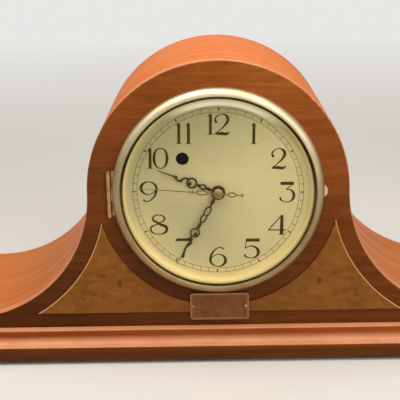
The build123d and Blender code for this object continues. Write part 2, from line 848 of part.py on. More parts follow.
hinge_screws = screws(
    leaf_screws_at,
    small_head_radius,
    small_head_height,
    small_shank_radius,
    small_screw_length,
    small_head_height,
    -1,
)

with BuildPart() as catch_spring:
    strip = box_outline([(catch_outer - catch_width / 2, 0)], catch_width, catch_height, 0)
    extrude(strip, amount=catch_sheet)
    bump_plane = Plane((catch_outer - catch_bump, face_y - catch_sheet, dial_z - catch_height / 2))
    with BuildSketch(bump_plane):
        Circle(catch_bump)
        with Locations((0, catch_bump + catch_sheet / 2)):
            Rectangle(4 * catch_bump, 2 * catch_bump, mode=Mode.SUBTRACT)
    extrude(amount=catch_height)
    extrude(
        discs(catch_screw_at, small_shank_radius + running_gap, 0), amount=catch_sheet, mode=Mode.SUBTRACT
    )

catch_screw = screws(
    catch_screw_at,
    small_head_radius,
    small_head_height,
    small_shank_radius,
    small_screw_length,
    -catch_sheet,
    -1,
)

# Movement plates, pillars and screws
with BuildPart() as front_plate:
    with BuildSketch(dial_plane(plate_back)):
        Rectangle(front_plate_width, plate_height)
        Circle(hour_pipe_radius, mode=Mode.SUBTRACT)
        with Locations(*movement_screws_at):
            Circle(movement_screw_radius + running_gap, mode=Mode.SUBTRACT)
        with Locations(*pillars_at):
            Circle(pillar_screw_radius + running_gap, mode=Mode.SUBTRACT)
        with Locations(*dial_feet_at):
            Circle(dial_stud_radius + running_gap, mode=Mode.SUBTRACT)
        with Locations(*shafts_at):
            Circle(shaft_radius + running_gap, mode=Mode.SUBTRACT)
        with Locations(third_at):
            Circle(pivot_radius + running_gap, mode=Mode.SUBTRACT)
        with Locations(minute_wheel_at):
            Circle(stud_radius, mode=Mode.SUBTRACT)
    extrude(amount=plate_thickness)

with BuildPart() as back_plate:
    with BuildSketch(dial_plane(rear_plate_back)):
        Rectangle(back_plate_width, plate_height)
        with Locations(centre_at, third_at):
            Circle(pivot_radius + running_gap, mode=Mode.SUBTRACT)
        with Locations(*shafts_at):
            Circle(shaft_radius + running_gap, mode=Mode.SUBTRACT)
        with Locations(*pillars_at):
            Circle(pillar_screw_radius + running_gap, mode=Mode.SUBTRACT)
        with Locations(*motor_screws_at):
            Circle(motor_screw_radius + running_gap, mode=Mode.SUBTRACT)
        with Locations(rotor_at):
            Circle(can_neck_radius, mode=Mode.SUBTRACT)
    extrude(amount=plate_thickness)

with BuildPart() as plate_pillars:
    extrude(discs(pillars_at, pillar_radius, rear_plate_front), amount=plate_spacing)
    extrude(discs(pillars_at, pillar_screw_radius, plate_back), amount=plate_thickness)
    thread_depth = pillar_screw_length - plate_thickness
    threads = discs(pillars_at, pillar_screw_radius + running_gap, rear_plate_front)
    extrude(threads, amount=thread_depth, mode=Mode.SUBTRACT)

pillar_screws = screws(
    pillars_at, pillar_radius, screw_head_height, pillar_screw_radius, pillar_screw_length, rear_plate_back, 1
)
movement_screws = screws(
    movement_screws_at,
    movement_screw_head,
    screw_head_height,
    movement_screw_radius,
    movement_screw_length,
    plate_back,
    1,
)

with BuildPart() as centre_bush:
    bore = minute_tube_radius + running_gap
    flange = (bore, bush_flange_radius, plate_front - bush_flange, plate_front)
    body = (bore, hour_pipe_radius, plate_front, plate_back + plate_thickness / 2)
    revolve(turned(centre_at, flange, body), axis=spindle_axis(centre_at))

with BuildPart() as minute_wheel_stud:
    stud_front = hour_front - pinion_overlap
    extrude(discs([minute_wheel_at], stud_radius, plate_back), amount=plate_back - stud_front)

# Motor: laminated core, coil and sealed rotor can
with BuildPart() as field_core:
    with BuildSketch(dial_plane(core_back)):
        core_bottom = yoke_z - core_yoke / 2
        with Locations((0, (core_top + core_bottom) / 2)):
            Rectangle(core_width, core_top - core_bottom)
        with Locations((0, (window_top + window_bottom) / 2)):
            Rectangle(2 * window_half, window_top - window_bottom, mode=Mode.SUBTRACT)
        with Locations(rotor_at):
            Circle(can_radius + core_gap, mode=Mode.SUBTRACT)
            Rectangle(pole_slot, 2 * (can_radius + can_neck_radius), mode=Mode.SUBTRACT)
        with Locations(*motor_screws_at):
            Circle(motor_screw_radius + running_gap, mode=Mode.SUBTRACT)
    extrude(amount=core_stack)


def coil_block(half_section, half_length):
    """Square block round the yoke; the section is taken across it, the length along X."""
    place = Plane((-half_length, face_y + core_mid, dial_z + yoke_z), x_dir=(0, 1, 0), z_dir=(1, 0, 0))
    with BuildSketch(place) as outline:
        Rectangle(2 * half_section, 2 * half_section)
    return outline.sketch


yoke_hole = core_yoke / 2 + bobbin_gap
bobbin_tube = yoke_hole + bobbin_wall
winding_half = bobbin_half - bobbin_flange
with BuildPart() as coil_bobbin:
    extrude(coil_block(coil_half, bobbin_half), amount=2 * bobbin_half)
    extrude(coil_block(2 * coil_half, winding_half), amount=2 * winding_half, mode=Mode.SUBTRACT)
    extrude(coil_block(bobbin_tube, bobbin_half), amount=2 * bobbin_half)
    extrude(coil_block(yoke_hole, bobbin_half), amount=2 * bobbin_half, mode=Mode.SUBTRACT)

with BuildPart() as coil_winding:
    extrude(coil_block(coil_half - flange_lip, winding_half), amount=2 * winding_half)
    extrude(coil_block(bobbin_tube, winding_half), amount=2 * winding_half, mode=Mode.SUBTRACT)

can_back = rear_plate_back + can_length
rotor_shaft_end = rear_plate_back + rotor_shaft_depth
with BuildPart() as rotor_can:
    shaft_bore = rotor_shaft_radius + running_gap
    revolve(
        turned(
            rotor_at,
            (shaft_bore, can_neck_radius, rear_plate_front, rear_plate_back),
            (shaft_bore, can_radius, rear_plate_back, rotor_shaft_end + arbor_shake),
            (0, can_radius, rotor_shaft_end + arbor_shake, can_back),
        ),
        axis=spindle_axis(rotor_at),
    )

with BuildPart() as motor_spacers:
    extrude(discs(motor_screws_at, spacer_radius, core_front), amount=spacer_length)
    bolt_ways = discs(motor_screws_at, motor_screw_radius + running_gap, core_front)
    extrude(bolt_ways, amount=spacer_length, mode=Mode.SUBTRACT)

motor_screws = screws(
    motor_screws_at,
    spacer_radius,
    screw_head_height,
    motor_screw_radius,
    core_back - rear_plate_front,
    core_back,
    1,
)

# Running train: rotor pinion, second arbor, third arbor and centre wheel
third_phase = meshed(0, second_pinion_teeth, third_bearing, third_wheel_teeth)
centre_phase = meshed(0, third_pinion_teeth, third_bearing + 180, centre_wheel_teeth)
rotor_phase = meshed(0, second_wheel_teeth, -90, rotor_teeth)

with BuildPart() as rotor_pinion:
    pinion_back = second_back + pinion_overlap
    pinion = gear_outline(rotor_at, rotor_teeth, motor_module, rotor_phase, pinion_form, pinion_back)
    extrude(pinion, amount=wheel_thickness + 2 * pinion_overlap)
    shaft = discs([rotor_at], rotor_shaft_radius, rotor_shaft_end)
    extrude(shaft, amount=rotor_shaft_end - pinion_back)

second_tip = -(second_hand_level + second_hand_sheet + second_boss)
arbor_front = tube_end + arbor_shake
with BuildPart() as second_arbor:
    rear_face = rear_plate_front - arbor_shake
    revolve(
        turned(
            centre_at,
            (0, second_rod_radius, second_tip, arbor_front),
            (0, second_arbor_radius, arbor_front, rear_face),
            (0, pivot_radius, rear_face, rear_plate_back),
        ),
        axis=spindle_axis(centre_at),
    )
    pinion_back = third_back + pinion_overlap
    pinion = gear_outline(centre_at, second_pinion_teeth, third_module, 0, pinion_form, pinion_back)
    extrude(pinion, amount=wheel_thickness + 2 * pinion_overlap)

with BuildPart() as second_wheel:
    rim = gear_outline(centre_at, second_wheel_teeth, motor_module, 0, wheel_form, second_back)
    extrude(rim, amount=wheel_thickness)
    extrude(
        discs([centre_at], second_arbor_radius, second_back), amount=wheel_thickness, mode=Mode.SUBTRACT
    )

with BuildPart() as third_arbor:
    front_face = plate_back + arbor_shake
    rear_face = rear_plate_front - arbor_shake
    revolve(
        turned(
            third_at,
            (0, pivot_radius, plate_front, front_face),
            (0, third_arbor_radius, front_face, rear_face),
            (0, pivot_radius, rear_face, rear_plate_back),
        ),
        axis=spindle_axis(third_at),
    )
    pinion_back = centre_back + pinion_overlap
    pinion = gear_outline(third_at, third_pinion_teeth, centre_module, 0, pinion_form, pinion_back)
    extrude(pinion, amount=wheel_thickness + 2 * pinion_overlap)

with BuildPart() as third_wheel:
    rim = gear_outline(third_at, third_wheel_teeth, third_module, third_phase, wheel_form, third_back)
    extrude(rim, amount=wheel_thickness)
    extrude(discs([third_at], third_arbor_radius, third_back), amount=wheel_thickness, mode=Mode.SUBTRACT)

with BuildPart() as centre_wheel:
    rim = gear_outline(centre_at, centre_wheel_teeth, centre_module, centre_phase, wheel_form, centre_back)
    extrude(rim, amount=wheel_thickness)
    bore = discs([centre_at], minute_tube_radius + running_gap, centre_back)
    extrude(bore, amount=wheel_thickness, mode=Mode.SUBTRACT)

# Setting train: minute arbor with its clutch, minute wheel, hour wheel, set shaft
minute_phase = meshed(0, cannon_teeth, 0, minute_wheel_teeth)
hour_phase = meshed(0, minute_pinion_teeth, 180, hour_wheel_teeth)
set_phase = meshed(minute_phase, minute_wheel_teeth, 0, cannon_teeth)
minute_tip = -(minute_hand_level + hand_sheet + hand_boss)
hour_tip = -(hour_hand_level + hand_sheet + hand_boss)

with BuildPart() as minute_arbor:
    bore = second_rod_radius + running_gap
    revolve(
        turned(
            centre_at,
            (bore, minute_tube_radius, minute_tip, tube_end),
            (bore, shoulder_radius, plate_back + shoulder_start, shoulder_end),
        ),
        axis=spindle_axis(centre_at),
    )
    pinion_back = cannon_back + pinion_overlap
    pinion = gear_outline(centre_at, cannon_teeth, motion_module, 0, pinion_form, pinion_back)
    extrude(pinion, amount=wheel_thickness + 2 * pinion_overlap)
    way = discs([centre_at], bore, pinion_back)
    extrude(way, amount=wheel_thickness + 2 * pinion_overlap, mode=Mode.SUBTRACT)

spring_front = centre_back + running_gap
with BuildPart() as clutch_spring:
    with BuildSketch(turning_plane()):
        hub = minute_tube_radius + running_gap
        spring_hub = spring_front + clutch_spring_rise
        with BuildLine():
            Polyline(
                (hub, spring_hub),
                (clutch_spring_radius, spring_front),
                (clutch_spring_radius, spring_front + clutch_spring_sheet),
                (hub, spring_hub + clutch_spring_sheet),
                close=True,
            )
        make_face()
    revolve(axis=spindle_axis(centre_at))

with BuildPart() as clutch_collar:
    section = (
        minute_tube_radius,
        clutch_collar_radius,
        collar_front,
        collar_front + clutch_collar_length,
    )
    revolve(turned(centre_at, section), axis=spindle_axis(centre_at))

with BuildPart() as minute_wheel:
    rim = gear_outline(
        minute_wheel_at, minute_wheel_teeth, motion_module, minute_phase, wheel_form, cannon_back
    )
    extrude(rim, amount=wheel_thickness)
    leaf_back = hour_back + pinion_overlap
    leaves = gear_outline(minute_wheel_at, minute_pinion_teeth, hour_module, 0, pinion_form, leaf_back)
    extrude(leaves, amount=wheel_thickness + 2 * pinion_overlap)
    hub_radius = hour_module * (minute_pinion_teeth / 2 + pinion_form[0][0])
    hub_back = plate_front - arbor_shake
    extrude(discs([minute_wheel_at], hub_radius, hub_back), amount=hub_back - hour_back)
    way = discs([minute_wheel_at], stud_radius + running_gap, hub_back)
    extrude(way, amount=hub_back - hour_front + pinion_overlap, mode=Mode.SUBTRACT)

with BuildPart() as hour_wheel:
    rim = gear_outline(centre_at, hour_wheel_teeth, hour_module, hour_phase, wheel_form, hour_back)
    extrude(rim, amount=wheel_thickness)
    pipe_back = cannon_front - pinion_overlap - arbor_shake
    extrude(discs([centre_at], hour_pipe_radius, pipe_back), amount=pipe_back - hour_tip)
    way = discs([centre_at], minute_tube_radius + running_gap, pipe_back)
    extrude(way, amount=pipe_back - hour_tip, mode=Mode.SUBTRACT)

knob_front = cover_rear + knob_gap
with BuildPart() as set_shaft:
    set_front = cannon_front - pinion_overlap
    set_end = knob_front + set_knob_height
    extrude(discs([set_at], shaft_radius, set_end), amount=set_end - set_front)
    pinion_back = cannon_back + pinion_overlap
    pinion = gear_outline(set_at, cannon_teeth, motion_module, set_phase, pinion_form, pinion_back)
    extrude(pinion, amount=wheel_thickness + 2 * pinion_overlap)
    collar_back = plate_back + arbor_shake + shaft_collar_length
    extrude(discs([set_at], shaft_collar_radius, collar_back), amount=shaft_collar_length)


def make_knob(at, radius, height):
    """Fluted knob on a shaft behind the back cover."""
    with BuildPart() as knob:
        with BuildSketch(dial_plane(knob_front + height)):
            with Locations(at):
                Circle(radius)
                Circle(shaft_radius, mode=Mode.SUBTRACT)
                with PolarLocations(radius, knob_flutes):
                    Circle(flute_radius, mode=Mode.SUBTRACT)
        extrude(amount=height)
    return knob


set_knob = make_knob(set_at, set_knob_radius, set_knob_height)
reset_knob = make_knob(indicator_at, reset_knob_radius, reset_knob_height)

# Indicator: a two-zone flag behind the dial window, tipped by its shaft
with BuildPart() as indicator_shaft:
    reset_end = knob_front + reset_knob_height
    extrude(discs([indicator_at], shaft_radius, reset_end), amount=reset_end - flag_gap)
    collar_back = plate_back + arbor_shake + shaft_collar_length
    extrude(discs([indicator_at], shaft_collar_radius, collar_back), amount=shaft_collar_length)

with BuildPart() as indicator_flag:
    with BuildSketch(dial_plane(flag_back, indicator_at)):
        sweep_start = flag_bearing - flag_half_angle
        sweep = flag_step + 2 * flag_half_angle
        inner, outer = flag_radius - flag_zone, flag_radius + flag_zone
        with BuildLine():
            CenterArc((0, 0), outer, sweep_start, sweep)
            CenterArc((0, 0), inner, sweep_start, sweep)
            for turn in (radians(sweep_start), radians(sweep_start + sweep)):
                Line((inner * cos(turn), inner * sin(turn)), (outer * cos(turn), outer * sin(turn)))
        make_face()
        arm_turn = radians(sweep_start + sweep / 2)
        arm = inner + flag_margin
        arm_end = (arm * cos(arm_turn), arm * sin(arm_turn))
        SlotCenterPoint((arm_end[0] / 2, arm_end[1] / 2), arm_end, flag_arm_width)
        Circle(flag_hub_radius)
        Circle(shaft_radius, mode=Mode.SUBTRACT)
    extrude(amount=flag_sheet)


def hand_outline(plane, length, hub_radius, shapes, piercings, dots, blades, link, bore):
    """Outline of a pierced hand: shapes, blades and link first, then the openings, then the dots in them."""
    with BuildSketch(plane) as outline:
        Circle(hub_radius)
        for blade in blades:
            upper = [(along * length, half_width * length) for along, half_width in blade]
            lower = [(along, -half_width) for along, half_width in reversed(upper)]
            with BuildLine():
                Polyline(*upper, *lower, close=True)
            make_face()
        if link:
            with BuildLine():
                Spline(*[(along * length, across * length) for along, across in link])
            trace(line_width=link_width)
        for group, mode in ((shapes, Mode.ADD), (piercings, Mode.SUBTRACT), (dots, Mode.ADD)):
            for along, across, half_length, half_width in group:
                with Locations((along * length, across * length)):
                    Ellipse(half_length * length, half_width * length, mode=mode)
        Circle(bore, mode=Mode.SUBTRACT)
    return outline.sketch


# Pierced serpentine hands
with BuildPart() as minute_hand:
    minute_outline = hand_outline(
        hand_plane(minute_reading, minutes_per_turn, -minute_hand_level),
        minute_hand_length,
        minute_hub_radius,
        minute_shapes,
        minute_piercings,
        minute_dots,
        minute_blades,
        minute_link,
        minute_tube_radius,
    )
    extrude(minute_outline, amount=hand_sheet)

with BuildPart() as hour_hand:
    hour_outline = hand_outline(
        hand_plane(hour_reading, hours_per_turn, -hour_hand_level),
        hour_hand_length,
        hour_hub_radius,
        hour_shapes,
        hour_piercings,
        hour_dots,
        hour_blades,
        hour_link,
        hour_pipe_radius,
    )
    extrude(hour_outline, amount=hand_sheet)

with BuildPart() as second_hand:
    second_outline = hand_outline(
        hand_plane(second_reading, minutes_per_turn, -second_hand_level),
        second_hand_length,
        second_hub_radius,
        second_shapes,
        second_piercings,
        (),
        second_blades,
        (),
        second_rod_radius,
    )
    extrude(second_outline, amount=second_hand_sheet)

pieces = {
    "base_board": base_board,
    "foot_pads": foot_pads,
    "base_screws": base_screws,
    "front_panel": front_panel,
    "case_skin": case_skin,
    "end_blocks": end_blocks,
    "case_ribs": case_ribs,
    "back_panel": back_panel,
    "back_cover": back_cover,
    "back_cover_screws": back_cover_screws,
    "cord_bush": cord_bush,
    "inlay_left": inlay_left,
    "inlay_right": inlay_right,
    "plaque": plaque,
    "plaque_pins": plaque_pins,
    "dial": dial,
    "dial_feet": dial_feet,
    "dial_nuts": dial_nuts,
    "bezel_ring": bezel_ring,
    "bezel_glass": bezel_glass,
    "glass_retainer": glass_retainer,
    "bezel_nub": bezel_nub,
    "hinge_bezel_leaf": hinge_bezel_leaf,
    "hinge_case_leaf": hinge_case_leaf,
    "hinge_pin": hinge_pin,
    "hinge_screws": hinge_screws,
    "catch_spring": catch_spring,
    "catch_screw": catch_screw,
    "front_plate": front_plate,
    "back_plate": back_plate,
    "plate_pillars": plate_pillars,
    "pillar_screws": pillar_screws,
    "movement_screws": movement_screws,
    "centre_bush": centre_bush,
    "minute_wheel_stud": minute_wheel_stud,
    "field_core": field_core,
    "coil_bobbin": coil_bobbin,
    "coil_winding": coil_winding,
    "rotor_can": rotor_can,
    "motor_spacers": motor_spacers,
    "motor_screws": motor_screws,
    "rotor_pinion": rotor_pinion,
    "second_arbor": second_arbor,
    "second_wheel": second_wheel,
    "second_hand": second_hand,
    "third_arbor": third_arbor,
    "third_wheel": third_wheel,
    "centre_wheel": centre_wheel,
    "minute_arbor": minute_arbor,
    "clutch_spring": clutch_spring,
    "clutch_collar": clutch_collar,
    "minute_hand": minute_hand,
    "minute_wheel": minute_wheel,
    "hour_wheel": hour_wheel,
    "hour_hand": hour_hand,
    "set_shaft": set_shaft,
    "set_knob": set_knob,
    "indicator_shaft": indicator_shaft,
    "indicator_flag": indicator_flag,
    "reset_knob": reset_knob,
}
os.makedirs("parts", exist_ok=True)
for label, piece in pieces.items():
    piece.part.label = label
    export_step(piece.part, f"parts/{label}.step")
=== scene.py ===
"""Dresses a tambour mantel clock: woods, metals, glass, dial printing, hub cap, light and camera."""

import logging
import math
from dataclasses import dataclass
from enum import Enum
from functools import reduce

import bpy
from mathutils import Matrix, Vector


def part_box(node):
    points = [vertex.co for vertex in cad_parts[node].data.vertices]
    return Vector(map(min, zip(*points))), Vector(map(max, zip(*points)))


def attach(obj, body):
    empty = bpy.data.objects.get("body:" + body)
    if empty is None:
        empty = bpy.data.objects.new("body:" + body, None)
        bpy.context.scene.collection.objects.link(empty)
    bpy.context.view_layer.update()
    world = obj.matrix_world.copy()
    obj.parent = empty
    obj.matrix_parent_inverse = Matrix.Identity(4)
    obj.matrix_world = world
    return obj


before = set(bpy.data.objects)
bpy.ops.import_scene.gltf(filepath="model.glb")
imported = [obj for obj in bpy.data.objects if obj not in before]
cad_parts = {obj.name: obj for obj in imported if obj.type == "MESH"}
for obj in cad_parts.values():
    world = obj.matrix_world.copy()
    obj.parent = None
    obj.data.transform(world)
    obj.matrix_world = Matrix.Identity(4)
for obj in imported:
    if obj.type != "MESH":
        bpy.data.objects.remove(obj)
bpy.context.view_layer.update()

Colour = tuple[float, float, float, float]
Point = tuple[float, float, float]
Span = tuple[float, float]
Stops = tuple[tuple[float, Colour], ...]
Socket = bpy.types.NodeSocket
Piece = bpy.types.Object

LOG = logging.getLogger("mantel_clock")
MM = 0.001
ORIGIN: Point = (0.0, 0.0, 0.0)
DIAL_LOW, DIAL_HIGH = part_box("dial")
DIAL_CENTRE = Vector((0.0, DIAL_HIGH.y, (DIAL_LOW.z + DIAL_HIGH.z) / 2))
DIAL_RADIUS = (DIAL_HIGH.z - DIAL_LOW.z) / 2
NOISE_REACH: Span = (0.35, 0.65)
NOISE_MIDDLE = 0.5
FIGURE_STOPS: Point = (0.36, 0.50, 0.64)
LACQUER_IOR = 1.4
WELD_DISTANCE = 1e-6
SMOOTH_ANGLE = 0.6


def tone(*shares: int) -> Colour:
    """Turns red, green and blue as seen, 0 to 255, into the linear colour that a shader takes."""
    seen = (share / 255 for share in shares)
    return *(part / 12.92 if part <= 0.04045 else ((part + 0.055) / 1.055) ** 2.4 for part in seen), 1.0


class Body(Enum):
    """The moving bodies that new pieces ride on."""

    CASE = "case"
    SECOND_TRAIN = "second_train"


class Axis(Enum):
    """The axes that a painted highlight or a stack of layers follows."""

    X = "X"
    Y = "Y"
    Z = "Z"


class Blend(Enum):
    """How one colour lies over another."""

    COVER = "MIX"
    STAIN = "MULTIPLY"


class Grain(Enum):
    """Which way the fibres lie: a one marks each axis across them."""

    ALONG_FACE = (0, 0, 1)
    ROUND_BEND = (0, 1, 0)
    ALONG_BOARD = (0, 1, 1)

    def stretch(self, along: float, across: float) -> Point:
        """Gives the pattern's scale on each axis, per metre, along the fibres and across them."""
        return tuple(across if flag else along for flag in self.value)


class Bend(Enum):
    """How a pen stroke passes through its points."""

    STRAIGHT = "straight"
    SMOOTH = "smooth"
    CLOSED = "closed"

    def handle(self) -> str:
        """Gives the kind of handle that the points of such a stroke have."""
        return "VECTOR" if self is Bend.STRAIGHT else "AUTO"


class Graph:
    """The node tree of a material or of the sky, with short calls for the nodes that these share."""

    def __init__(self, owner: bpy.types.Material | bpy.types.World, end: str) -> None:
        """Starts an empty tree.

        Args:
            owner: The material or sky that the tree belongs to.
            end: The type name of its last node.
        """
        owner.use_nodes = True
        self.tree = owner.node_tree
        self.tree.nodes.clear()
        self.end = self.add(end, {}).inputs["Surface"]

    def put(self, socket: Socket, value: object) -> None:
        """Links a socket into an input, or writes a plain value there.

        Args:
            socket: The input.
            value: Another node's output, or a number, colour or vector.
        """
        if isinstance(value, Socket):
            self.tree.links.new(value, socket)
        else:
            socket.default_value = value

    def add(self, kind: str, inputs: dict[str | int, object], **settings: object) -> bpy.types.Node:
        """Adds one node.

        Args:
            kind: The node's type name.
            inputs: Values or links for its inputs.
            settings: Its own settings.

        Returns:
            The new node.
        """
        node = self.tree.nodes.new(kind)
        for name, value in settings.items():
            setattr(node, name, value)
        for name, value in inputs.items():
            self.put(node.inputs[name], value)
        return node

    def where(self, kind: str = "Object") -> Socket:
        """Gives the place on the piece in metres, or coordinates of another kind."""
        return self.add("ShaderNodeTexCoord", {}).outputs[kind]

    def parts(self, vector: Socket) -> bpy.types.NodeOutputs:
        """Gives a vector's X, Y and Z."""
        return self.add("ShaderNodeSeparateXYZ", {"Vector": vector}).outputs

    def place(self, stretch: Point, shift: Point = ORIGIN, source: Socket | None = None) -> Socket:
        """Gives the place on the piece, or another place, scaled per metre and then moved."""
        inputs = {"Vector": source or self.where(), "Scale": stretch, "Location": shift}
        return self.add("ShaderNodeMapping", inputs).outputs["Vector"]

    def about(self, centre: Point) -> bpy.types.NodeOutputs:
        """Gives the X, Y and Z of the place on the piece as measured from a centre."""
        return self.parts(self.place((1.0, 1.0, 1.0), tuple(-part for part in centre)))

    def length(self, vector: Socket) -> Socket:
        """Gives a vector's length."""
        return self.add("ShaderNodeVectorMath", {0: vector}, operation="LENGTH").outputs["Value"]

    def radius(self, centre: Point, source: Socket | None = None) -> Socket:
        """Gives the distance in metres from a centre, as seen from the front."""
        return self.length(self.place((1.0, 0.0, 1.0), (-centre[0], 0.0, -centre[2]), source))

    def noise(self, where: Socket, detail: float, rough: float = 0.5, swirl: float = 0.0) -> Socket:
        """Gives soft noise, about 0.25 to 0.75, at a place that is scaled already."""
        inputs = {"Vector": where, "Scale": 1.0, "Detail": detail, "Roughness": rough, "Distortion": swirl}
        return self.add("ShaderNodeTexNoise", inputs).outputs["Fac"]

    def mottle(self, scale: float, detail: float, rough: float = 0.5, swirl: float = 0.0) -> Socket:
        """Gives soft noise at the same scale on all axes, per metre."""
        return self.noise(self.place((scale,) * 3), detail, rough, swirl)

    def cells(self, where: Socket) -> Socket:
        """Gives the distance to the nearest of scattered points."""
        return self.add("ShaderNodeTexVoronoi", {"Vector": where, "Scale": 1.0}).outputs["Distance"]

    def fit(self, value: Socket, low: float, high: float, first: object = 0.0,
            last: object = 1.0) -> Socket:
        """Maps the range from low to high of a pattern onto the range from first to last, clamped."""
        inputs = {"Value": value, "From Min": low, "From Max": high, "To Min": first, "To Max": last}
        return self.add("ShaderNodeMapRange", inputs).outputs["Result"]

    def spread(self, noise: Socket, ends: Span) -> Socket:
        """Maps the usual reach of noise onto a range."""
        return self.fit(noise, *NOISE_REACH, *ends)

    def ramp(self, factor: Socket, stops: Stops) -> Socket:
        """Colours a pattern by a row of stops.

        Args:
            factor: The pattern.
            stops: Places and colours, in order.

        Returns:
            The colour output.
        """
        node = self.add("ShaderNodeValToRGB", {"Fac": factor})
        bar = node.color_ramp.elements
        for spot, (place, colour) in zip(bar, stops):
            spot.position, spot.color = place, colour
        for place, colour in stops[len(bar):]:
            bar.new(place).color = colour
        return node.outputs["Color"]

    def figured(self, figure: Socket, *tones: Colour) -> Socket:
        """Colours a wood's figure by its dark, middle and light tones."""
        return self.ramp(figure, tuple(zip(FIGURE_STOPS, tones)))

    def mix(self, factor: object, first: object, second: object,
            how: Blend = Blend.COVER) -> Socket:
        """Mixes two colours, with as much of the second as the factor says."""
        inputs = {0: factor, 6: first, 7: second}
        return self.add("ShaderNodeMix", inputs, data_type="RGBA", blend_type=how.value).outputs[2]

    def calc(self, how: str, first: object, second: object = 0.0) -> Socket:
        """Works out one sum of one or two values."""
        return self.add("ShaderNodeMath", {0: first, 1: second}, operation=how).outputs[0]

    def product(self, *factors: object) -> Socket:
        """Multiplies values together."""
        return reduce(lambda first, second: self.calc("MULTIPLY", first, second), factors)

    def weigh(self, *terms: tuple[object, float]) -> Socket:
        """Adds up values, each times its own weight."""
        weighed = (self.calc("MULTIPLY", value, weight) for value, weight in terms)
        return reduce(lambda first, second: self.calc("ADD", first, second), weighed)

    def bump(self, height: Socket, depth: float) -> Socket:
        """Turns a pattern into relief of that depth in metres."""
        return self.add("ShaderNodeBump", {"Height": height, "Distance": depth}).outputs["Normal"]

    def surface(self, inputs: dict[str, object]) -> None:
        """Ends the tree in one shader with these inputs."""
        self.put(self.end, self.add("ShaderNodeBsdfPrincipled", inputs).outputs["BSDF"])

    def blend(self, share: Socket, first: bpy.types.Node, second: bpy.types.Node) -> None:
        """Ends the tree in two shaders, with as much of the second as the share says."""
        inputs = {0: share, 1: first.outputs[0], 2: second.outputs[0]}
        self.put(self.end, self.add("ShaderNodeMixShader", inputs).outputs["Shader"])


@dataclass(frozen=True)
class Finish:
    """What every finish shares: a name, and a material made once and used on many pieces."""

    name: str

    def material(self) -> bpy.types.Material:
        """Finds the finish's material, or makes it at its first use.

        Returns:
            The material.
        """
        title = self.name + "_finish"
        made = bpy.data.materials.get(title)
        if made is None:
            made = bpy.data.materials.new(title)
            self.paint(Graph(made, "ShaderNodeOutputMaterial"))
        return made

    def paint(self, graph: Graph) -> None:
        """Draws the finish's nodes; each kind of finish has its own."""
        raise NotImplementedError


@dataclass(frozen=True)
class Wear:
    """Paint, painted shade and painted highlights over a finish's colour: its tone, and how much of it
    shows where.
    """

    tone: Colour
    how = Blend.COVER

    def amount(self, graph: Graph) -> Socket:
        """Gives how much of the tone shows; each kind of layer has its own."""
        raise NotImplementedError

    def over(self, graph: Graph, colour: Socket) -> Socket:
        """Lays the layer over the colour below it."""
        return graph.mix(self.amount(graph), colour, self.tone, self.how)


@dataclass(frozen=True)
class Rub(Wear):
    """Painted highlight: the colour made paler where a face turns, by the range of its normal on one axis.
    """

    axis: Axis
    turn: Span
    share: float = 0.8
    patch_scale: float = 70.0
    patch_reach: Span = (0.35, 0.6)
    patch_share: Span = (0.86, 1.0)

    def amount(self, graph: Graph) -> Socket:
        """Follows the turn of the face, broken up a little.

        Args:
            graph: The material's nodes.

        Returns:
            How much of the tone shows.
        """
        facing = graph.parts(graph.where("Normal"))[self.axis.value]
        turned = graph.fit(facing, *self.turn, 0.0, self.share)
        patch = graph.mottle(self.patch_scale, detail=4.0, rough=0.6)
        return graph.product(turned, graph.fit(patch, *self.patch_reach, *self.patch_share))


@dataclass(frozen=True)
class Shade(Wear):
    """A tone that grows from none to full over a level, in metres above a centre.

    The slope gives the weights of height and of the way to the right in that level. Across and edges
    hold more such ranges: of the way to the right, and of the radius in shares of the dial's. Drift
    makes the level uneven.
    """

    level: Span
    strength: Span = (0.0, 1.0)
    slope: Span = (1.0, 0.0)
    across: tuple[Span, ...] = ()
    edges: tuple[Span, ...] = ()
    centre: Point = tuple(DIAL_CENTRE)
    drift: float = 0.0
    drift_scale: float = 14.0

    def amount(self, graph: Graph) -> Socket:
        """Multiplies the level's own range by the others.

        Args:
            graph: The material's nodes.

        Returns:
            How much of the tone shows.
        """
        parts = graph.about(self.centre)
        level = graph.weigh((parts["Z"], self.slope[0]), (parts["X"], self.slope[1]))
        if self.drift:
            uneven = graph.calc("SUBTRACT", graph.mottle(self.drift_scale, detail=3.0), NOISE_MIDDLE)
            level = graph.weigh((level, 1.0), (uneven, self.drift * (self.level[0] - self.level[1])))
        factors = [graph.fit(level, *self.level, *self.strength)]
        factors += [graph.fit(parts["X"], *reach) for reach in self.across]
        for reach in self.edges:
            none, full = (share * DIAL_RADIUS for share in reach)
            factors.append(graph.fit(graph.radius(self.centre), none, full))
        return graph.product(*factors)


@dataclass(frozen=True)
class Fade(Shade):
    """Painted shade that deepens unevenly along the height or another slope."""

    centre: Point = ORIGIN
    drift: float = 0.4
    how = Blend.STAIN


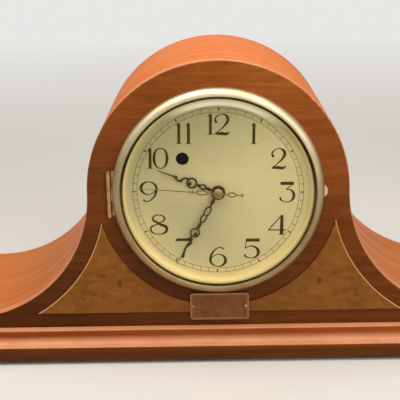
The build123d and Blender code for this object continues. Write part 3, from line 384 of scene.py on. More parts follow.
@dataclass(frozen=True)
class WoodFinish(Finish):
    """Wood with streaks, flecks and pores under lacquer or bare."""

    grain: Grain
    dark: Colour
    middle: Colour
    light: Colour
    along: float = 9.0
    across: float = 240.0
    streak_share: float = 0.62
    fleck_reach: Span = (0.56, 0.72)
    fleck_share: float = 0.45
    pore_reach: Span = (0.58, 0.70)
    pore_share: float = 0.5
    lacquer: float = 0.7
    lacquer_rough: float = 0.14
    rough: Span = (0.30, 0.46)
    pore_depth: float = 0.00006
    shine: float = 0.3
    shift: Point = ORIGIN
    wear: tuple[Wear, ...] = ()

    def layer(self, graph: Graph, along: float, across: float, detail: float = 2.0, rough: float = 0.5,
              swirl: float = 0.0) -> Socket:
        """Gives noise drawn out along the fibres, its scales given as shares of the wood's own."""
        stretch = self.grain.stretch(self.along * along, self.across * across)
        return graph.noise(graph.place(stretch, self.shift), detail, rough, swirl)

    def paint(self, graph: Graph) -> None:
        """Lays broad drift, streaks, flecks, pores, painted shade and painted highlights over each other.

        Args:
            graph: The material's nodes.
        """
        drift = self.layer(graph, along=0.5, across=0.06)
        streak = self.layer(graph, along=1.0, across=1.0, detail=5.0, rough=0.62, swirl=0.5)
        figure = graph.weigh((streak, self.streak_share), (drift, 1.0 - self.streak_share))
        colour = graph.figured(figure, self.dark, self.middle, self.light)
        fleck = self.layer(graph, along=4.0, across=2.2)
        colour = graph.mix(graph.fit(fleck, *self.fleck_reach, 0.0, self.fleck_share), colour, self.light)
        pore = graph.fit(self.layer(graph, along=6.0, across=6.5, rough=0.55), *self.pore_reach)
        colour = graph.mix(graph.product(pore, self.pore_share), colour, self.dark)
        for wear in self.wear:
            colour = wear.over(graph, colour)
        graph.surface({
            "Base Color": colour,
            "Roughness": graph.spread(streak, self.rough[::-1]),
            "Normal": graph.bump(graph.calc("SUBTRACT", 1.0, pore), self.pore_depth),
            "Specular IOR Level": self.shine,
            "Coat Weight": self.lacquer,
            "Coat Roughness": self.lacquer_rough,
            "Coat IOR": LACQUER_IOR,
        })


@dataclass(frozen=True)
class BurlFinish(Finish):
    """Book-matched burl veneer: swirls, curl and small dark eyes, mirrored about the middle."""

    dark: Colour
    middle: Colour
    light: Colour
    eye: Colour
    rubbed: Colour
    edge_centre: Point
    edge_radius: float
    edge_width: float = 0.0008
    rub_share: float = 0.8
    swirl_stretch: Point = (38.0, 38.0, 64.6)
    swirl_share: float = 0.65
    curl_stretch: Point = (60.0, 60.0, 170.0)
    curl_depth: float = 0.00004
    eye_scale: float = 95.0
    eye_reach: Span = (0.10, 0.42)
    eye_share: float = 0.9
    eye_clusters: Span = (0.495, 0.57)
    shade_reach: Span = (0.085, 0.030)
    shade_share: float = 0.45
    rough: Span = (0.42, 0.30)
    shine: float = 0.12
    lacquer: float = 0.15
    lacquer_rough: float = 0.18

    def paint(self, graph: Graph) -> None:
        """Mirrors the place left to right, then lays swirls, curl, eyes, painted shade near the middle and
        a painted highlight along the outer edge.

        Args:
            graph: The material's nodes.
        """
        parts = graph.parts(graph.where())
        outward = graph.calc("ABSOLUTE", parts["X"])
        mirrored = graph.add("ShaderNodeCombineXYZ", {"X": outward, "Y": parts["Y"], "Z": parts["Z"]})
        spot = mirrored.outputs["Vector"]
        swirl_place = graph.place(self.swirl_stretch, source=spot)
        swirl = graph.noise(swirl_place, detail=6.0, rough=0.6, swirl=2.2)
        curl = graph.noise(graph.place(self.curl_stretch, source=spot), detail=3.0, rough=0.55, swirl=0.8)
        figure = graph.weigh((swirl, self.swirl_share), (curl, 1.0 - self.swirl_share))
        colour = graph.figured(figure, self.dark, self.middle, self.light)
        cells = graph.cells(graph.place((self.eye_scale,) * 3, source=spot))
        eyes = graph.product(graph.fit(cells, *self.eye_reach, self.eye_share, 0.0),
                             graph.fit(swirl, *self.eye_clusters))
        colour = graph.mix(eyes, colour, self.eye)
        # Painted shade: darker towards the middle of the pair.
        shade = graph.fit(outward, *self.shade_reach, 0.0, self.shade_share)
        colour = graph.mix(shade, colour, self.dark)
        # Painted highlight along the outer curved edge.
        highlight = graph.fit(graph.radius(self.edge_centre, spot), self.edge_radius + self.edge_width,
                        self.edge_radius + self.edge_width / 2, 0.0, self.rub_share)
        graph.surface({
            "Base Color": graph.mix(highlight, colour, self.rubbed),
            "Roughness": graph.spread(curl, self.rough),
            "Normal": graph.bump(curl, self.curl_depth),
            "Specular IOR Level": self.shine,
            "Coat Weight": self.lacquer,
            "Coat Roughness": self.lacquer_rough,
            "Coat IOR": LACQUER_IOR,
        })


@dataclass(frozen=True)
class WornFinish(Finish):
    """A metal, paint, board or moulding: two tones in patches, fine specks and uneven shine."""

    base: Colour
    patch: Colour
    metallic: float = 0.0
    rough: Span = (0.30, 0.45)
    rough_reach: Span = (0.38, 0.62)
    patch_scale: float = 60.0
    patch_reach: Span = (0.42, 0.66)
    speck_stretch: Point = (900.0, 900.0, 900.0)
    speck_depth: float = 0.00002
    speck_reach: Span = (0.5, 0.72)
    speck_share: float = 0.25
    lacquer: float = 0.0
    sheen: float = 0.0
    shine: float = 0.5
    wear: tuple[Wear, ...] = ()

    def paint(self, graph: Graph) -> None:
        """Lays patches of the second tone, specks in tone, shine and relief, then paint and painted shade.

        Args:
            graph: The material's nodes.
        """
        patch = graph.mottle(self.patch_scale, detail=4.0, rough=0.6, swirl=0.6)
        speck = graph.noise(graph.place(self.speck_stretch), detail=3.0, rough=0.6)
        colour = graph.mix(graph.fit(patch, *self.patch_reach), self.base, self.patch)
        specks = graph.fit(speck, *self.speck_reach, 0.0, self.speck_share)
        colour = graph.mix(specks, colour, self.patch)
        for wear in self.wear:
            colour = wear.over(graph, colour)
        graph.surface({
            "Base Color": colour,
            "Metallic": self.metallic,
            "Roughness": graph.fit(graph.weigh((patch, 0.5), (speck, 0.5)), *self.rough_reach, *self.rough),
            "Normal": graph.bump(speck, self.speck_depth),
            "Specular IOR Level": self.shine,
            "Coat Weight": self.lacquer,
            "Sheen Weight": self.sheen,
        })


@dataclass(frozen=True)
class LayeredFinish(Finish):
    """Thin layers side by side, such as stacked iron sheets or wound tape."""

    base: Colour
    line: Colour
    layer_axis: Axis
    layers_per_metre: float
    metallic: float
    rough: Span
    line_depth: float = 0.0001
    line_reach: Span = (0.35, 0.0)
    line_waver: float = 0.6
    stain_scale: float = 120.0
    stain_reach: Span = (0.5, 0.75)
    stain_share: float = 0.6

    def paint(self, graph: Graph) -> None:
        """Rules fine lines across one axis and dulls them unevenly.

        Args:
            graph: The material's nodes.
        """
        lines = {"Vector": graph.where(), "Scale": self.layers_per_metre / 2,
                 "Distortion": self.line_waver, "Detail": 2.0}
        wave = graph.add("ShaderNodeTexWave", lines, bands_direction=self.layer_axis.value).outputs["Fac"]
        stain = graph.mottle(self.stain_scale, detail=4.0, rough=0.6)
        colour = graph.mix(graph.fit(wave, *self.line_reach), self.base, self.line)
        stained = graph.fit(stain, *self.stain_reach, 0.0, self.stain_share)
        graph.surface({
            "Base Color": graph.mix(stained, colour, self.line),
            "Metallic": self.metallic,
            "Roughness": graph.spread(stain, self.rough),
            "Normal": graph.bump(wave, self.line_depth),
        })


@dataclass(frozen=True)
class DialFinish(Finish):
    """Silvered dial metal under old lacquer: toned by radius, clouded, with painted shade, a painted
    highlight high on the margin and a painted shadow round the rim, and finely turned.
    """

    middle: Colour
    ring: Colour
    margin: Colour
    cloud: Colour
    ring_radius: float
    margin_radius: float
    shades: tuple[Shade, ...]
    lip: Shade
    seam: Shade
    cloud_scale: float = 28.0
    cloud_reach: Span = (0.45, 0.75)
    cloud_share: float = 0.5
    cloud_edge: Span = (0.92, 0.88)
    metallic: Span = (0.12, 0.9)
    rough: Span = (0.38, 0.52)
    speck_scale: float = 1400.0
    turning_pitch: float = 24000.0
    turning_share: float = 0.15
    relief: float = 0.00001

    def paint(self, graph: Graph) -> None:
        """Tones the plate by its radius, clouds it, lays painted shade, paints a highlight high on the
        margin and makes it metallic there, paints a shadow round the rim and turns its face.

        Args:
            graph: The material's nodes.
        """
        radius = graph.radius(DIAL_CENTRE)
        share = graph.fit(radius, 0.0, DIAL_RADIUS)
        colour = graph.ramp(share, (
            (0.0, self.middle), (self.ring_radius / DIAL_RADIUS, self.ring),
            (self.margin_radius / DIAL_RADIUS, self.margin)))
        cloud = graph.mottle(self.cloud_scale, detail=5.0, rough=0.6, swirl=0.8)
        clouded = graph.product(graph.fit(cloud, *self.cloud_reach, 0.0, self.cloud_share),
                                graph.fit(share, *self.cloud_edge))
        colour = graph.mix(clouded, colour, self.cloud)
        # Painted shade over parts of the plate.
        for shade in self.shades:
            colour = shade.over(graph, colour)
        # Painted highlight high on the dished margin, which is also made metallic there.
        lip = self.lip.amount(graph)
        colour = graph.mix(lip, colour, self.lip.tone)
        speck = graph.mottle(self.speck_scale, detail=2.0)
        turning = graph.calc("SINE", graph.product(radius, self.turning_pitch))
        graph.surface({
            # Painted shadow round the rim.
            "Base Color": self.seam.over(graph, colour),
            "Metallic": graph.fit(lip, 0.0, 1.0, *self.metallic),
            "Roughness": graph.spread(speck, self.rough),
            "Normal": graph.bump(graph.weigh((speck, 1.0), (turning, self.turning_share)), self.relief),
        })


@dataclass(frozen=True)
class PlaqueFinish(Finish):
    """A plain plate of coppery brass, with a painted highlight along its edges and dull in its middle."""

    centre: Point
    half_width: float
    half_height: float
    base: Colour
    dull: Colour
    rubbed: Colour
    rub_width: float = 0.0016
    rub_share: float = 0.5
    ragged: float = -0.0012
    brush_stretch: Point = (60.0, 900.0, 2600.0)
    brush_depth: float = 0.00002
    stain_stretch: Point = (90.0, 90.0, 130.0)
    stain_reach: Span = (0.40, 0.66)
    metallic: float = 0.7
    rough: Span = (0.34, 0.52)

    def paint(self, graph: Graph) -> None:
        """Brushes the plate lengthways and paints a highlight near its four edges.

        Args:
            graph: The material's nodes.
        """
        parts = graph.about(self.centre)
        gaps = [graph.calc("SUBTRACT", half, graph.calc("ABSOLUTE", parts[axis]))
                for axis, half in (("X", self.half_width), ("Z", self.half_height))]
        brushed = graph.noise(graph.place(self.brush_stretch), detail=3.0, rough=0.6)
        stain = graph.noise(graph.place(self.stain_stretch), detail=5.0, rough=0.65, swirl=0.8)
        colour = graph.mix(graph.fit(stain, *self.stain_reach), self.base, self.dull)
        # Painted highlight along the four edges, made ragged by the stain.
        edge = graph.weigh((graph.calc("MINIMUM", *gaps), 1.0), (stain, self.ragged))
        highlight = graph.fit(edge, self.rub_width, -self.rub_width / 2, 0.0, self.rub_share)
        graph.surface({
            "Base Color": graph.mix(highlight, colour, self.rubbed),
            "Metallic": self.metallic,
            "Roughness": graph.spread(brushed, self.rough),
            "Normal": graph.bump(brushed, self.brush_depth),
        })


@dataclass(frozen=True)
class GlassFinish(Finish):
    """Clear window glass that mirrors a little, more so at a glance."""

    tint: Colour
    mirror_share: Span = (0.006, 0.85)
    glance_power: float = 5.0
    haze_scale: float = 45.0
    haze_reach: Span = (0.4, 0.7)
    rough: Span = (0.03, 0.09)

    def paint(self, graph: Graph) -> None:
        """Mixes a clear pane with a mirror by the angle it is seen at.

        Args:
            graph: The material's nodes.
        """
        haze = graph.mottle(self.haze_scale, detail=4.0, rough=0.6)
        mirror = graph.add("ShaderNodeBsdfGlossy", {
            "Color": tone(255, 255, 255), "Roughness": graph.fit(haze, *self.haze_reach, *self.rough)})
        clear = graph.add("ShaderNodeBsdfTransparent", {"Color": self.tint})
        glance = graph.add("ShaderNodeLayerWeight", {}).outputs["Facing"]
        share = graph.fit(graph.calc("POWER", glance, self.glance_power), 0.0, 1.0, *self.mirror_share)
        graph.blend(share, clear, mirror)


@dataclass(frozen=True)
class FloorFinish(Finish):
    """Pale floor paint that runs into the sky's own tone away from the clock."""

    colour: Colour
    sky_colour: Colour
    sky_seen: float
    near: float = 0.7
    far: float = 1.9
    speck_scale: float = 300.0
    rough: Span = (0.6, 0.7)

    def paint(self, graph: Graph) -> None:
        """Mixes lit paint near the clock with the sky's tone beyond it, where it is seen directly.

        Args:
            graph: The material's nodes.
        """
        speck = graph.mottle(self.speck_scale, detail=3.0)
        lit = graph.add("ShaderNodeBsdfPrincipled", {
            "Base Color": self.colour, "Roughness": graph.spread(speck, self.rough)})
        glow = graph.add("ShaderNodeEmission", {"Color": self.sky_colour, "Strength": self.sky_seen})
        reach = graph.fit(graph.length(graph.where()), self.near, self.far)
        seen = graph.add("ShaderNodeLightPath", {}).outputs["Is Camera Ray"]
        graph.blend(graph.product(reach, seen), lit, glow)


def dress(finish: Finish, *names: str) -> None:
    """Gives a finish to solids of the frame.

    Args:
        finish: The finish.
        names: The solids' names.
    """
    for name in names:
        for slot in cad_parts[name].material_slots:
            slot.material = finish.material()
        LOG.info("%s dressed in %s", name, finish.name)


def start_fresh() -> None:
    """Leaves nothing selected and no mode open, so that the next piece is made alone."""
    if bpy.context.object is not None and bpy.context.object.mode != "OBJECT":
        bpy.ops.object.mode_set(mode="OBJECT")
    bpy.ops.object.select_all(action="DESELECT")


def open_mesh() -> None:
    """Opens the active piece for editing, with the whole of its mesh selected."""
    bpy.ops.object.mode_set(mode="EDIT")
    bpy.ops.mesh.select_all(action="SELECT")


def pick(*pieces: Piece) -> None:
    """Selects these pieces alone, with the first of them active."""
    start_fresh()
    for piece in pieces:
        piece.select_set(True)
    bpy.context.view_layer.objects.active = pieces[0]


def apply_modifier(piece: Piece, kind: str, **settings: object) -> None:
    """Adds a modifier and applies it at once.

    Args:
        piece: The piece.
        kind: The modifier's type name.
        settings: Its settings.
    """
    pick(piece)
    modifier = piece.modifiers.new(kind.lower(), kind)
    for name, value in settings.items():
        setattr(modifier, name, value)
    bpy.ops.object.modifier_apply(modifier=modifier.name)


def copy_of(piece: Piece, place: Matrix) -> Piece:
    """Copies a piece with a mesh of its own.

    Args:
        piece: The piece to copy.
        place: Where the copy goes.

    Returns:
        The copy, with its place in its mesh.
    """
    twin = piece.copy()
    twin.data = piece.data.copy()
    bpy.context.scene.collection.objects.link(twin)
    twin.matrix_world = place
    pick(twin)
    bpy.ops.object.transform_apply()
    return twin


def discard(*pieces: Piece) -> None:
    """Removes pieces that have served as patterns."""
    for piece in pieces:
        bpy.data.objects.remove(piece)


def joined(name: str, pieces: list[Piece]) -> Piece:
    """Joins pieces into one, or takes a single piece, and names it.

    Args:
        name: The name of the whole.
        pieces: The parts, which are used up.

    Returns:
        The joined piece.
    """
    pick(*pieces)
    if len(pieces) > 1:
        bpy.ops.object.join()
    whole = bpy.context.object
    whole.name = whole.data.name = name
    return whole


def settle(piece: Piece, body: Body, finish: Finish) -> None:
    """Finishes a piece: place in its mesh, faces outwards, shading, finish and body.

    Args:
        piece: The piece.
        body: The body that it rides on.
        finish: Its finish.
    """
    pick(piece)
    bpy.ops.object.transform_apply()
    open_mesh()
    bpy.ops.mesh.remove_doubles(threshold=WELD_DISTANCE)
    bpy.ops.mesh.normals_make_consistent(inside=False)
    bpy.ops.object.mode_set(mode="OBJECT")
    bpy.ops.object.shade_smooth_by_angle(angle=SMOOTH_ANGLE)
    piece.data.materials.clear()
    piece.data.materials.append(finish.material())
    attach(piece, body.value)
    start_fresh()
    LOG.info("%s made in %s, %d faces", piece.name, finish.name, len(piece.data.polygons))


@dataclass(frozen=True)
class Stroke:
    """One pull of the pen: points as (across, up, half width), in thousandths of a numeral's height."""

    bend: Bend
    points: tuple[tuple[int, int, int], ...]


@dataclass(frozen=True)
class Digit:
    """A digit as pen strokes, with its set width in thousandths of its height."""

    width: int
    strokes: tuple[Stroke, ...]
    half_turn: bool = False


SIX_STROKES = (
    Stroke(Bend.SMOOTH, (
        (710, 900, 35), (540, 985, 20), (290, 860, 30), (80, 480, 48), (110, 200, 45), (400, 15, 20),
        (690, 100, 45), (800, 320, 60), (680, 560, 38), (430, 630, 18), (210, 530, 18), (100, 400, 18))),)

DIGITS = {
    "0": Digit(780, (
        Stroke(Bend.CLOSED, ((390, 985, 20), (80, 500, 58), (390, 15, 20), (700, 500, 58))),)),
    "1": Digit(260, (
        Stroke(Bend.STRAIGHT, ((140, 0, 58), (140, 985, 58))),
        Stroke(Bend.STRAIGHT, ((0, 860, 10), (70, 900, 18), (150, 975, 30))),
        Stroke(Bend.STRAIGHT, ((0, 14, 14), (280, 14, 14))))),
    "2": Digit(730, (
        Stroke(Bend.SMOOTH, (
            (120, 570, 50), (50, 720, 34), (140, 890, 24), (340, 982, 18), (570, 900, 46),
            (640, 730, 60), (540, 500, 42), (300, 250, 22), (70, 60, 18))),
        Stroke(Bend.SMOOTH, ((50, 50, 40), (320, 62, 60), (600, 52, 52), (720, 150, 14))))),
    "3": Digit(760, (
        Stroke(Bend.STRAIGHT, ((50, 925, 66), (690, 935, 66))),
        Stroke(Bend.STRAIGHT, ((670, 930, 18), (340, 640, 18))),
        Stroke(Bend.SMOOTH, (
            (320, 630, 16), (540, 610, 30), (700, 350, 60), (560, 60, 30), (330, 15, 18),
            (100, 110, 30), (50, 240, 45))))),
    "4": Digit(860, (
        Stroke(Bend.STRAIGHT, ((650, 0, 75), (650, 995, 60))),
        Stroke(Bend.STRAIGHT, ((620, 960, 22), (20, 250, 22))),
        Stroke(Bend.STRAIGHT, ((0, 245, 24), (860, 245, 24))),
        Stroke(Bend.STRAIGHT, ((500, 14, 14), (800, 14, 14))))),
    "5": Digit(830, (
        Stroke(Bend.STRAIGHT, ((140, 925, 70), (790, 930, 70))),
        Stroke(Bend.STRAIGHT, ((155, 950, 18), (100, 500, 18))),
        Stroke(Bend.SMOOTH, (
            (100, 510, 16), (300, 610, 22), (560, 580, 36), (740, 330, 65), (600, 60, 36),
            (360, 15, 20), (140, 80, 30), (70, 190, 45))))),
    "6": Digit(840, SIX_STROKES),
    "7": Digit(800, (
        Stroke(Bend.STRAIGHT, ((40, 930, 60), (780, 940, 60))),
        Stroke(Bend.STRAIGHT, ((60, 950, 20), (0, 790, 10))),
        Stroke(Bend.SMOOTH, ((760, 940, 28), (480, 500, 40), (340, 0, 58))))),
    "8": Digit(920, (
        Stroke(Bend.CLOSED, (
            (460, 985, 20), (180, 800, 36), (460, 560, 52), (850, 270, 58), (460, 15, 20),
            (70, 270, 36), (460, 560, 20), (740, 800, 36))),)),
    "9": Digit(840, SIX_STROKES, half_turn=True),
}


@dataclass
class DialWork:
    """The dial plate's silvering and its printing: minute track and numerals."""

    face_rise: float = 0.8 * MM
    ink_rise: float = 0.03 * MM
    outer_track: float = 64.9 * MM
    inner_track: float = 61.6 * MM
    track_line: float = 0.30 * MM
    track_sides: int = 180
    minute_tick: Span = (0.32 * MM, 3.3 * MM)
    hour_tick: Span = (0.95 * MM, 2.4 * MM)
    numeral_height: float = 16.0 * MM
    numeral_circle: float = 52.4 * MM
    pair_gaps: tuple[tuple[int, int], ...] = ((10, -20), (11, 190), (12, 50))
    stroke_steps: int = 10
    stroke_weight: float = 1.18
    print_turn: float = 0.019
    ring_radius: float = 56.9 * MM
    margin_radius: float = 67.6 * MM
    flag_pivot: Point = (-24.0 * MM, 0.0, DIAL_CENTRE.z)
    flag_bearing: float = 1.914
    flag_edge: Span = (-0.1 * MM, 0.1 * MM)
    ink: Finish = WornFinish(
        "dial_ink", tone(60, 46, 7), tone(76, 60, 15), rough=(0.45, 0.65), patch_scale=160.0,
        speck_share=0.35, shine=0.05)
    flag_paint: Finish = WornFinish(
        "flag_black", tone(12, 10, 8), tone(24, 21, 17), rough=(0.6, 0.8), shine=0.05,
        wear=(Shade(tone(176, 44, 28), flag_edge, centre=flag_pivot,
                    slope=(math.cos(flag_bearing), -math.sin(flag_bearing))),))

    def on_dial(self, across: float, up: float) -> Matrix:
        """Gives the place on the dial's face for something drawn flat.

        Args:
            across: Distance to the right of the centre.
            up: Distance above the centre.

        Returns:
            The placing, turned with the whole of the print.
        """
        spot = DIAL_CENTRE - Vector((0.0, self.face_rise, 0.0))
        face = Matrix.Translation(spot) @ Matrix.Rotation(math.pi / 2, 4, "X")
        turned = face @ Matrix.Rotation(-self.print_turn, 4, "Z")
        return turned @ Matrix.Translation((across, up, 0.0))

    def silvered(self) -> Finish:
        """Gives the plate's finish: painted shade above, at the upper left and in the lower middle, a
        painted highlight high on the margin and a painted shadow round the rim.

        Returns:
            The finish.
        """
        # Painted shade: the cloud tone over the upper margin, the shade tone at the upper left and in the
        # lower middle.
        cloud, shade_tone = tone(196, 179, 129), tone(170, 158, 114)
        upper = Shade(cloud, (-0.062, -0.015), (0.0, 0.8), edges=((0.80, 0.87), (0.965, 0.955)))
        left = Shade(shade_tone, (0.004, 0.05), (0.0, 0.95), slope=(0.85, -0.45), edges=((0.98, 0.92),))
        lower = Shade(shade_tone, (0.004, -0.012), (0.0, 0.62), across=((0.034, -0.006),), edges=((0.84, 0.50),))
        return DialFinish(
            "dial_silver", tone(219, 200, 148), tone(207, 190, 140), tone(236, 211, 144), cloud,
            self.ring_radius, self.margin_radius, (upper, left, lower),
            # The top of the margin gets a painted highlight and the rim a painted shadow.
            lip=Shade(tone(255, 247, 224), (0.054, 0.064), slope=(1.0, 0.1), edges=((0.897, 0.915),)),
            seam=Shade(tone(52, 38, 14), (-0.04, 0.02), (0.35, 1.0), edges=((0.978, 0.986),)))

    def inked(self, flat: Piece) -> Piece:
        """Gives something drawn flat the thickness of the ink."""
        apply_modifier(flat, "SOLIDIFY", thickness=self.ink_rise, offset=1.0)
        return flat

    def track_ring(self, radius: float) -> Piece:
        """Draws one ring of the minute track, flat at the origin.

        Args:
            radius: The line's middle radius.

        Returns:
            The ring.
        """
        start_fresh()
        inner, outer = radius - self.track_line / 2, radius + self.track_line / 2
        bpy.ops.mesh.primitive_circle_add(vertices=self.track_sides, radius=inner)
        ring = bpy.context.object
        open_mesh()
        bpy.ops.mesh.extrude_edges_move()
        bpy.ops.transform.resize(value=(outer / inner,) * 3, center_override=ORIGIN)
        bpy.ops.mesh.select_all(action="SELECT")
        bpy.ops.mesh.flip_normals()
        bpy.ops.object.mode_set(mode="OBJECT")
        return self.inked(ring)

    def tick(self, size: Span) -> Piece:
        """Draws one tick of the track at twelve, flat at the origin.

        Args:
            size: Its width and length.

        Returns:
            The tick.
        """
        start_fresh()
        middle = self.outer_track - size[1] / 2
        bpy.ops.mesh.primitive_plane_add(size=1.0, location=(0.0, middle, 0.0))
        mark = bpy.context.object
        mark.scale = (size[0], size[1], 1.0)
        bpy.ops.object.transform_apply()
        return self.inked(mark)

    def minute_track(self) -> None:
        """Prints the two rings and the sixty ticks between them."""
        minute, hour = self.tick(self.minute_tick), self.tick(self.hour_tick)
        face = self.on_dial(0.0, 0.0)
        marks = []
        for count in range(60):
            turned = face @ Matrix.Rotation(-math.tau * count / 60, 4, "Z")
            marks.append(copy_of(minute if count % 5 else hour, turned))
        rings = [self.track_ring(radius) for radius in (self.inner_track, self.outer_track)]
        marks += [copy_of(ring, face) for ring in rings]
        discard(minute, hour, *rings)
        settle(joined("dial_minute_track", marks), Body.CASE, self.ink)

    def scale(self, share: int) -> float:
        """Turns thousandths of a numeral's height into metres."""
        return share / 1000 * self.numeral_height

    def pen_line(self, bend: Bend, points: tuple[Point, ...]) -> Piece:
        """Draws a line through points, flat at the origin.

        Args:
            bend: How the line passes through them.
            points: Each point's place across and up, and its half width.

        Returns:
            The line.
        """
        start_fresh()
        bpy.ops.curve.primitive_bezier_curve_add(location=ORIGIN)
        line = bpy.context.object
        spots = line.data.splines[0].bezier_points
        spots.add(len(points) - len(spots))
        for spot, (across, up, half) in zip(spots, points):
            spot.co = (across, up, 0.0)
            spot.handle_left_type = spot.handle_right_type = bend.handle()
            spot.radius = half
        return line

    def pen_stroke(self, stroke: Stroke, nib: Piece) -> Piece:
        """Pulls a flat nib along one stroke.

        Args:
            stroke: The stroke.
            nib: The nib's outline, one unit wide on each side.

        Returns:
            The stroke as a thin solid, flat at the origin.
        """
        line = self.pen_line(stroke.bend, tuple(
            (self.scale(across), self.scale(up), self.scale(half) * self.stroke_weight)
            for across, up, half in stroke.points))
        path = line.data.splines[0]
        path.use_cyclic_u = stroke.bend is Bend.CLOSED
        path.radius_interpolation = "LINEAR" if stroke.bend is Bend.STRAIGHT else "CARDINAL"
        line.data.dimensions = "3D"
        line.data.twist_mode = "Z_UP"
        line.data.resolution_u = self.stroke_steps
        line.data.bevel_mode = "OBJECT"
        line.data.bevel_object = nib
        bpy.ops.object.convert(target="MESH")
        return self.inked(line)

    def digit(self, drawn: Digit, nib: Piece) -> Piece:
        """Draws one digit, its strokes melted together.

        Args:
            drawn: The digit.
            nib: The nib's outline.

        Returns:
            The digit, flat with its foot at the origin.
        """
        strokes = [self.pen_stroke(stroke, nib) for stroke in drawn.strokes]
        whole = strokes[0]
        for extra in strokes[1:]:
            apply_modifier(whole, "BOOLEAN", object=extra, operation="UNION", solver="EXACT")
            discard(extra)
        if drawn.half_turn:
            centre = Matrix.Translation((self.scale(drawn.width) / 2, self.numeral_height / 2, 0.0))
            turned = centre @ Matrix.Rotation(math.pi, 4, "Z") @ centre.inverted()
            upright = copy_of(whole, turned)
            discard(whole)
            whole = upright
        return whole

    def numerals(self) -> None:
        """Prints the twelve hours, upright, each centred on the numeral circle."""
        nib = self.pen_line(Bend.STRAIGHT, ((-1.0, 0.0, 1.0), (1.0, 0.0, 1.0)))
        nib.data.resolution_u = 1
        patterns = {mark: self.digit(drawn, nib) for mark, drawn in DIGITS.items()}
        printed = []
        for hour in range(1, 13):
            angle = math.tau * hour / 12
            widths = [DIGITS[mark].width for mark in str(hour)]
            gap = dict(self.pair_gaps).get(hour, 0)
            across = self.numeral_circle * math.sin(angle) - self.scale(sum(widths) + gap) / 2
            up = self.numeral_circle * math.cos(angle) - self.numeral_height / 2
            for mark, width in zip(str(hour), widths):
                printed.append(copy_of(patterns[mark], self.on_dial(across, up)))
                across += self.scale(width + gap)
        discard(nib, *patterns.values())
        settle(joined("dial_numerals", printed), Body.CASE, self.ink)

    def build(self) -> None:
        """Dresses the plate and the flag, then prints the dial."""
        dress(self.silvered(), "dial")
        dress(self.flag_paint, "indicator_flag")
        self.minute_track()
        self.numerals()


@dataclass
class Woodwork:
    """The case: front panel, bent skin, base, inlays and the bare wood inside and behind."""

    # The panel's overlays are painted shade, darker towards the foot and towards the left, and a painted
    # highlight on its rounded edges.
    panel: Finish = WoodFinish(
        "panel_mahogany", Grain.ALONG_FACE, tone(123, 64, 22), tone(144, 77, 29), tone(162, 90, 37),
        along=20.0, across=260.0, lacquer=0.08, shine=0.06, wear=(
            Fade((0.40, 0.37, 0.25, 1.0), level=(0.24, 0.05)),
            Fade((0.72, 0.72, 0.67, 1.0), level=(0.09, -0.11), slope=(0.0, 1.0)),
            Rub(tone(216, 140, 88), Axis.Y, turn=(-0.93, -0.40))))
    # The skin's overlay is painted shade, duller and darker towards its foot.
    skin: Finish = WoodFinish(
        "skin_mahogany", Grain.ROUND_BEND, tone(198, 103, 37), tone(207, 111, 42),
        tone(213, 117, 46), along=11.0, across=120.0, fleck_share=0.2, pore_share=0.4,
        lacquer=0.04, lacquer_rough=0.25, shine=0.03,
        wear=(Fade((0.78, 0.88, 0.98, 1.0), level=(0.20, 0.04)),))
    # The base's overlays are painted shade, darker low on the plinth, and a painted highlight on its upward
    # faces.
    board: Finish = WoodFinish(
        "board_mahogany", Grain.ALONG_BOARD, tone(114, 51, 13), tone(133, 62, 18),
        tone(149, 74, 25), along=6.0, across=200.0, lacquer=0.12, shine=0.06, shift=(3.1, 5.7, 2.3),
        wear=(Fade((0.38, 0.46, 0.36, 1.0), level=(0.020, 0.010)),
              Rub(tone(214, 147, 106), Axis.Z, turn=(0.15, 0.85), share=0.95)))
    bare: Finish = WoodFinish(
        "bare_wood", Grain.ALONG_FACE, tone(150, 112, 72), tone(178, 138, 94), tone(198, 160, 114),
        along=7.0, across=150.0, lacquer=0.0, rough=(0.6, 0.8))
    # The inlays carry painted shade near the middle and a painted highlight along their outer curved edges.
    burl: Finish = BurlFinish(
        "burl_veneer", tone(107, 61, 12), tone(125, 74, 18), tone(135, 82, 23), eye=tone(66, 36, 6),
        rubbed=tone(216, 166, 112), edge_centre=(201.0 * MM, 0.0, DIAL_CENTRE.z),
        edge_radius=113.6 * MM)
    felt: Finish = WornFinish(
        "foot_felt", tone(38, 62, 44), tone(58, 84, 62), rough=(0.9, 1.0), sheen=0.4,
        speck_depth=0.00015, speck_share=0.5)

    def build(self) -> None:
        """Dresses every wooden solid and the feet."""
        dress(self.panel, "front_panel")
        dress(self.skin, "case_skin")
        dress(self.board, "base_board")
        dress(self.burl, "inlay_left", "inlay_right")
        dress(self.bare, "end_blocks", "case_ribs", "back_panel")
        dress(self.felt, "foot_pads")


